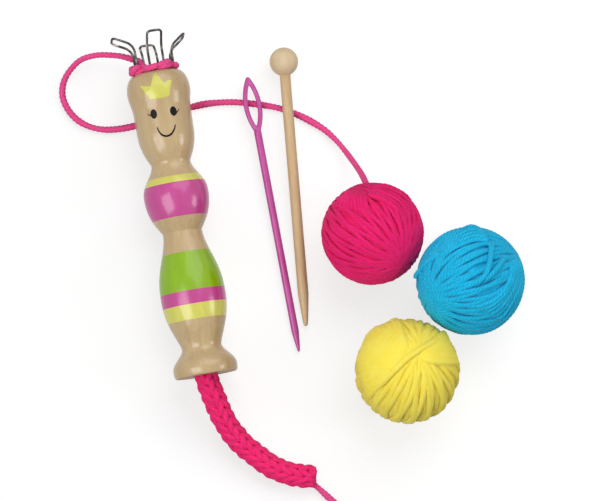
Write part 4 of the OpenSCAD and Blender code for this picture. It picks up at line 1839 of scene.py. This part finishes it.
@dataclass
class Studio:
    """The white table, the lights and the camera.

    The left lamp makes the bright spots and leaves the table alone, so that shadows fall to the lower left.
    """

    target: Spot = (58.7, 55.7, 17.0)
    distance: float = 2300.0
    width_seen: float = 312.0
    sensor: float = 36.0
    sight: float = 100.0
    floor_size: float = 6.0
    dome: float = 0.27
    table_share: float = 0.5
    table_glow: float = 0.73
    lamps: tuple[Lamp, ...] = (
        Lamp("left_panel", (-0.66, -0.22, 0.9), 0.7, 7.2, False),
        Lamp("top_panel", (0.6, 1.05, 1.3), 1.7, 15.5),
        Lamp("right_panel", (1.0, -0.25, 0.5), 0.38, 2.5),
    )

    def build_camera(self) -> None:
        """Sets the camera almost straight over the table, as the photograph has it."""
        right, up, toward = view_axes()
        eye = (np.array(self.target) + self.distance * toward) * MM + foot_middle()
        data = bpy.data.cameras.new("camera")
        data.sensor_fit = "HORIZONTAL"
        data.sensor_width = self.sensor
        data.lens = self.sensor * self.distance / self.width_seen
        data.clip_end = self.sight
        camera = bpy.data.objects.new("camera", data)
        columns = np.stack([right, up, toward], axis=1)
        camera.matrix_world = Matrix.Translation(Vector(eye)) @ Matrix(columns.tolist()).to_4x4()
        bpy.context.scene.collection.objects.link(camera)
        bpy.context.scene.camera = camera

    def seen_mask(self, graph: Graph) -> Socket:
        """Gives 1 for what the camera sees directly, mirrored or through glass.

        Args:
            graph: Graph that takes the nodes.

        Returns:
            The mask.
        """
        path = graph.add("ShaderNodeLightPath").outputs
        direct = graph.math("ADD", path["Is Camera Ray"], path["Is Glossy Ray"])
        parts = {0: direct, 1: path["Is Transmission Ray"]}
        return graph.add("ShaderNodeMath", parts, operation="ADD", use_clamp=True).outputs[0]

    def build_floor(self) -> Piece:
        """Lays a white table that keeps soft shadows.

        Returns:
            The table.
        """
        half = self.floor_size / 2
        corners = [(-half, -half, 0), (half, -half, 0), (half, half, 0), (-half, half, 0)]
        mesh = bpy.data.meshes.new("table")
        mesh.from_pydata(corners, [], [(0, 1, 2, 3)])
        material, graph = new_material("white_table")
        matt = graph.add("ShaderNodeBsdfDiffuse", {"Color": (*[self.table_share] * 3, 1.0)})
        seen = graph.math("MULTIPLY", self.seen_mask(graph), self.table_glow)
        glow = graph.add("ShaderNodeEmission", {"Strength": seen})
        both = graph.add("ShaderNodeAddShader", {0: matt.outputs[0], 1: glow.outputs[0]})
        graph.add("ShaderNodeOutputMaterial", {"Surface": both.outputs[0]})
        mesh.materials.append(material)
        table = bpy.data.objects.new("table", mesh)
        bpy.context.scene.collection.objects.link(table)
        return table

    def build_world(self) -> None:
        """Surrounds the table with soft white light."""
        world = bpy.data.worlds.new("studio")
        world.use_nodes = True
        graph = Graph(world.node_tree)
        soft = graph.add("ShaderNodeBackground", {"Color": WHITE, "Strength": self.dome}).outputs[0]
        white = graph.add("ShaderNodeBackground", {"Color": WHITE, "Strength": 1.0}).outputs[0]
        mixed = graph.add("ShaderNodeMixShader", {0: self.seen_mask(graph), 1: soft, 2: white})
        graph.add("ShaderNodeOutputWorld", {"Surface": mixed.outputs[0]})
        bpy.context.scene.world = world

    def hang_lamp(self, lamp: Lamp, table: Piece) -> None:
        """Hangs one lamp over the set.

        Args:
            lamp: The lamp.
            table: The table, which the lamp may leave alone.
        """
        data = bpy.data.lights.new(lamp.name, "AREA")
        data.shape = "SQUARE"
        data.size = lamp.side
        data.energy = lamp.watts
        panel = bpy.data.objects.new(lamp.name, data)
        panel.location = lamp.place
        panel.rotation_euler = (-Vector(lamp.place)).to_track_quat("-Z", "Y").to_euler()
        if not lamp.lights_table:
            spared = bpy.data.collections.new(f"{lamp.name}_spares")
            spared.objects.link(table)
            spared.collection_objects[0].light_linking.link_state = "EXCLUDE"
            panel.light_linking.receiver_collection = spared
        bpy.context.scene.collection.objects.link(panel)

    def build(self) -> None:
        """Lays the table and hangs the lights."""
        table = self.build_floor()
        self.build_world()
        for lamp in self.lamps:
            self.hang_lamp(lamp, table)
        bpy.context.scene.view_settings.view_transform = "Standard"


def pink_bundles() -> tuple[Bundle, ...]:
    """Lays the strands that part where the yarn leaves the pink ball.

    Returns:
        The bundles.
    """
    rim = ((-0.36, 0.93, -2.0), (-0.51, 0.78, 0.3), (-0.68, 0.61, 0.4), (-0.80, 0.42, -2.2))
    parting = ((-0.17, 0.90, -2.0), (-0.17, 0.75, 0.4), (-0.15, 0.58, 0.5), (-0.07, 0.40, -2.2))
    painted_ply_shading = ((-0.14, 0.94, -2.0), (0.17, 0.96, 0.2), (0.48, 0.86, 0.4), (0.71, 0.69, 0.3), (0.86, 0.47, -2.2))
    brow = ((-0.17, 0.85, -2.0), (0.0, 0.73, 0.5), (0.20, 0.65, 0.6), (0.42, 0.51, 0.4), (0.61, 0.34, -2.2))
    return (Bundle((rim, parting), 9), Bundle((painted_ply_shading, brow), 6))


def blue_bundles() -> tuple[Bundle, ...]:
    """Lays the crossing strands, the loose end and the heavier bundles of the blue ball.

    Returns:
        The bundles.
    """
    crossing = (
        (0.33, 0.78, -2.6), (0.35, 0.65, 1.2), (0.33, 0.48, 2.0), (0.30, 0.31, 2.0), (0.24, 0.13, 1.8),
        (0.13, 0.0, 1.2), (-0.02, -0.1, -2.6),
    )
    beside = (
        (0.64, 0.53, -2.6), (0.55, 0.38, 1.4), (0.48, 0.27, 1.9), (0.38, 0.16, 1.7), (0.28, 0.06, 1.1),
        (0.14, -0.05, -2.6),
    )
    loose_end = (
        (-0.41, 0.52, -2.6), (-0.59, 0.49, 0.2), (-0.755, 0.385, 0.6), (-0.874, 0.273, 0.8),
        (-0.946, 0.162, 1.2), (-0.984, 0.054, 2.2),
    )
    right_rim = (
        (0.71, 0.47, -2.6), (0.86, 0.33, 0.5), (0.93, 0.13, 0.8), (0.90, -0.09, 0.9), (0.79, -0.37, 0.8),
        (0.61, -0.69, 0.5), (0.44, -0.87, -2.6),
    )
    right_fold = (
        (0.69, 0.41, -2.6), (0.73, 0.27, 0.4), (0.71, 0.07, 0.8), (0.62, -0.13, 0.8), (0.47, -0.30, 0.7),
        (0.24, -0.43, 0.4), (-0.05, -0.52, -2.6),
    )
    top_rim = (
        (-0.69, 0.50, -2.6), (-0.48, 0.72, 0.4), (-0.24, 0.87, 1.0), (0.01, 0.96, 1.8), (0.20, 0.88, 1.0),
        (0.34, 0.76, -2.6),
    )
    top_fold = (
        (-0.62, 0.40, -2.6), (-0.38, 0.58, 0.3), (-0.12, 0.70, 0.6), (0.10, 0.76, 0.8), (0.24, 0.74, 0.6),
        (0.35, 0.68, -2.6),
    )
    return (
        Bundle((right_rim, right_fold), 7),
        Bundle((top_rim, top_fold), 5),
        Bundle((crossing,)),
        Bundle((beside,)),
        Bundle((loose_end,)),
    )


def yellow_bundles() -> tuple[Bundle, ...]:
    """Lays the smooth sectors of the yellow ball and the ridge between them.

    Returns:
        The bundles.
    """
    lower = (
        (0.04, 0.36, -1.0), (-0.16, 0.16, 0.2), (-0.42, -0.10, 0.3), (-0.74, -0.44, 0.2),
        (-0.98, -0.70, -2.6),
    )
    left = (
        (0.02, 0.38, -1.0), (-0.25, 0.37, 0.2), (-0.55, 0.34, 0.3), (-0.94, 0.24, 0.2),
        (-1.24, 0.10, -2.6),
    )
    corner = (
        (0.02, 0.39, -1.0), (-0.20, 0.50, 0.2), (-0.44, 0.62, 0.3), (-0.74, 0.74, 0.2),
        (-0.96, 0.84, -2.6),
    )
    upper = (
        (0.0, 0.40, -1.0), (-0.07, 0.58, 0.2), (-0.14, 0.76, 0.3), (-0.24, 0.98, 0.1),
        (-0.31, 1.20, -2.6),
    )
    right_top = (
        (0.10, 0.40, -1.0), (0.28, 0.49, 0.1), (0.46, 0.58, 0.2), (0.72, 0.72, 0.1), (0.92, 0.82, -2.6),
    )
    right_low = (
        (0.12, 0.34, -1.0), (0.35, 0.24, 0.2), (0.61, 0.20, 0.4), (0.94, 0.16, 0.3), (1.22, 0.06, -2.6),
    )
    ridge = (
        (-0.72, -0.40, -2.2), (-0.56, -0.25, 0.5), (-0.40, -0.09, 0.9), (-0.21, 0.10, 1.2),
        (-0.03, 0.27, 1.3), (0.16, 0.40, 1.2), (0.35, 0.50, 0.9), (0.53, 0.60, 0.5), (0.68, 0.67, -2.2),
    )
    return (
        Bundle((lower, left, corner, upper), 29, 0.1),
        Bundle((right_top, right_low), 10, 0.1),
        Bundle((ridge,)),
    )


def make_balls(finishes: Finishes) -> list[YarnBall]:
    """Describes the three balls as they lie on the table.

    Args:
        finishes: All materials.

    Returns:
        The balls.
    """
    yellow_pole = {"near": (57, 66), "far": (237, -66), "wraps": 21, "clear": 3.0}
    return [
        YarnBall(
            "pink_ball", "pink_core", "pink_winding", Body.DOLL, Slot.PINK_YARN, finishes.pink_yarn,
            (Fan((-54, 34), (126, -34), 29, 0.2, clear=4.0),),
            pink_bundles(),
            PliedYarn(diameter=3.0, lay=10.0),
            2.3,
        ),
        YarnBall(
            "blue_ball", "blue_core", "blue_winding", Body.BLUE_BALL, Slot.BLUE_YARN, finishes.blue_yarn,
            (Fan((194, 33), (14, 5), 25, 0.2, clear=3.0),),
            blue_bundles(),
            PliedYarn(diameter=3.1),
            2.8,
        ),
        YarnBall(
            "yellow_ball", "yellow_core", "yellow_winding", Body.YELLOW_BALL, Slot.YELLOW_YARN,
            finishes.yellow_yarn,
            (Fan(inset=0.5, **yellow_pole), Fan(inset=1.7, first=8.6, last=368.6, **yellow_pole)),
            yellow_bundles(),
            PliedYarn(diameter=4.0, lay=14.0, groove=0.06),
            3.2,
        ),
    ]


def main() -> None:
    """Builds the set piece by piece."""
    logging.basicConfig(level=logging.INFO, format="%(message)s")
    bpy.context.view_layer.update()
    studio = Studio()
    studio.build_camera()
    finishes = Finishes.make()
    doll = WoodenDoll(finishes)
    KnittedCord(finishes, doll).build()
    WorkingYarn(finishes).build()
    doll.build()
    LoopRing(finishes, doll).build()
    for ball in make_balls(finishes):
        ball.build()
    YarnNeedle(finishes).build()
    Pick(finishes).build()
    studio.build()


if __name__ == "__main__":
    main()
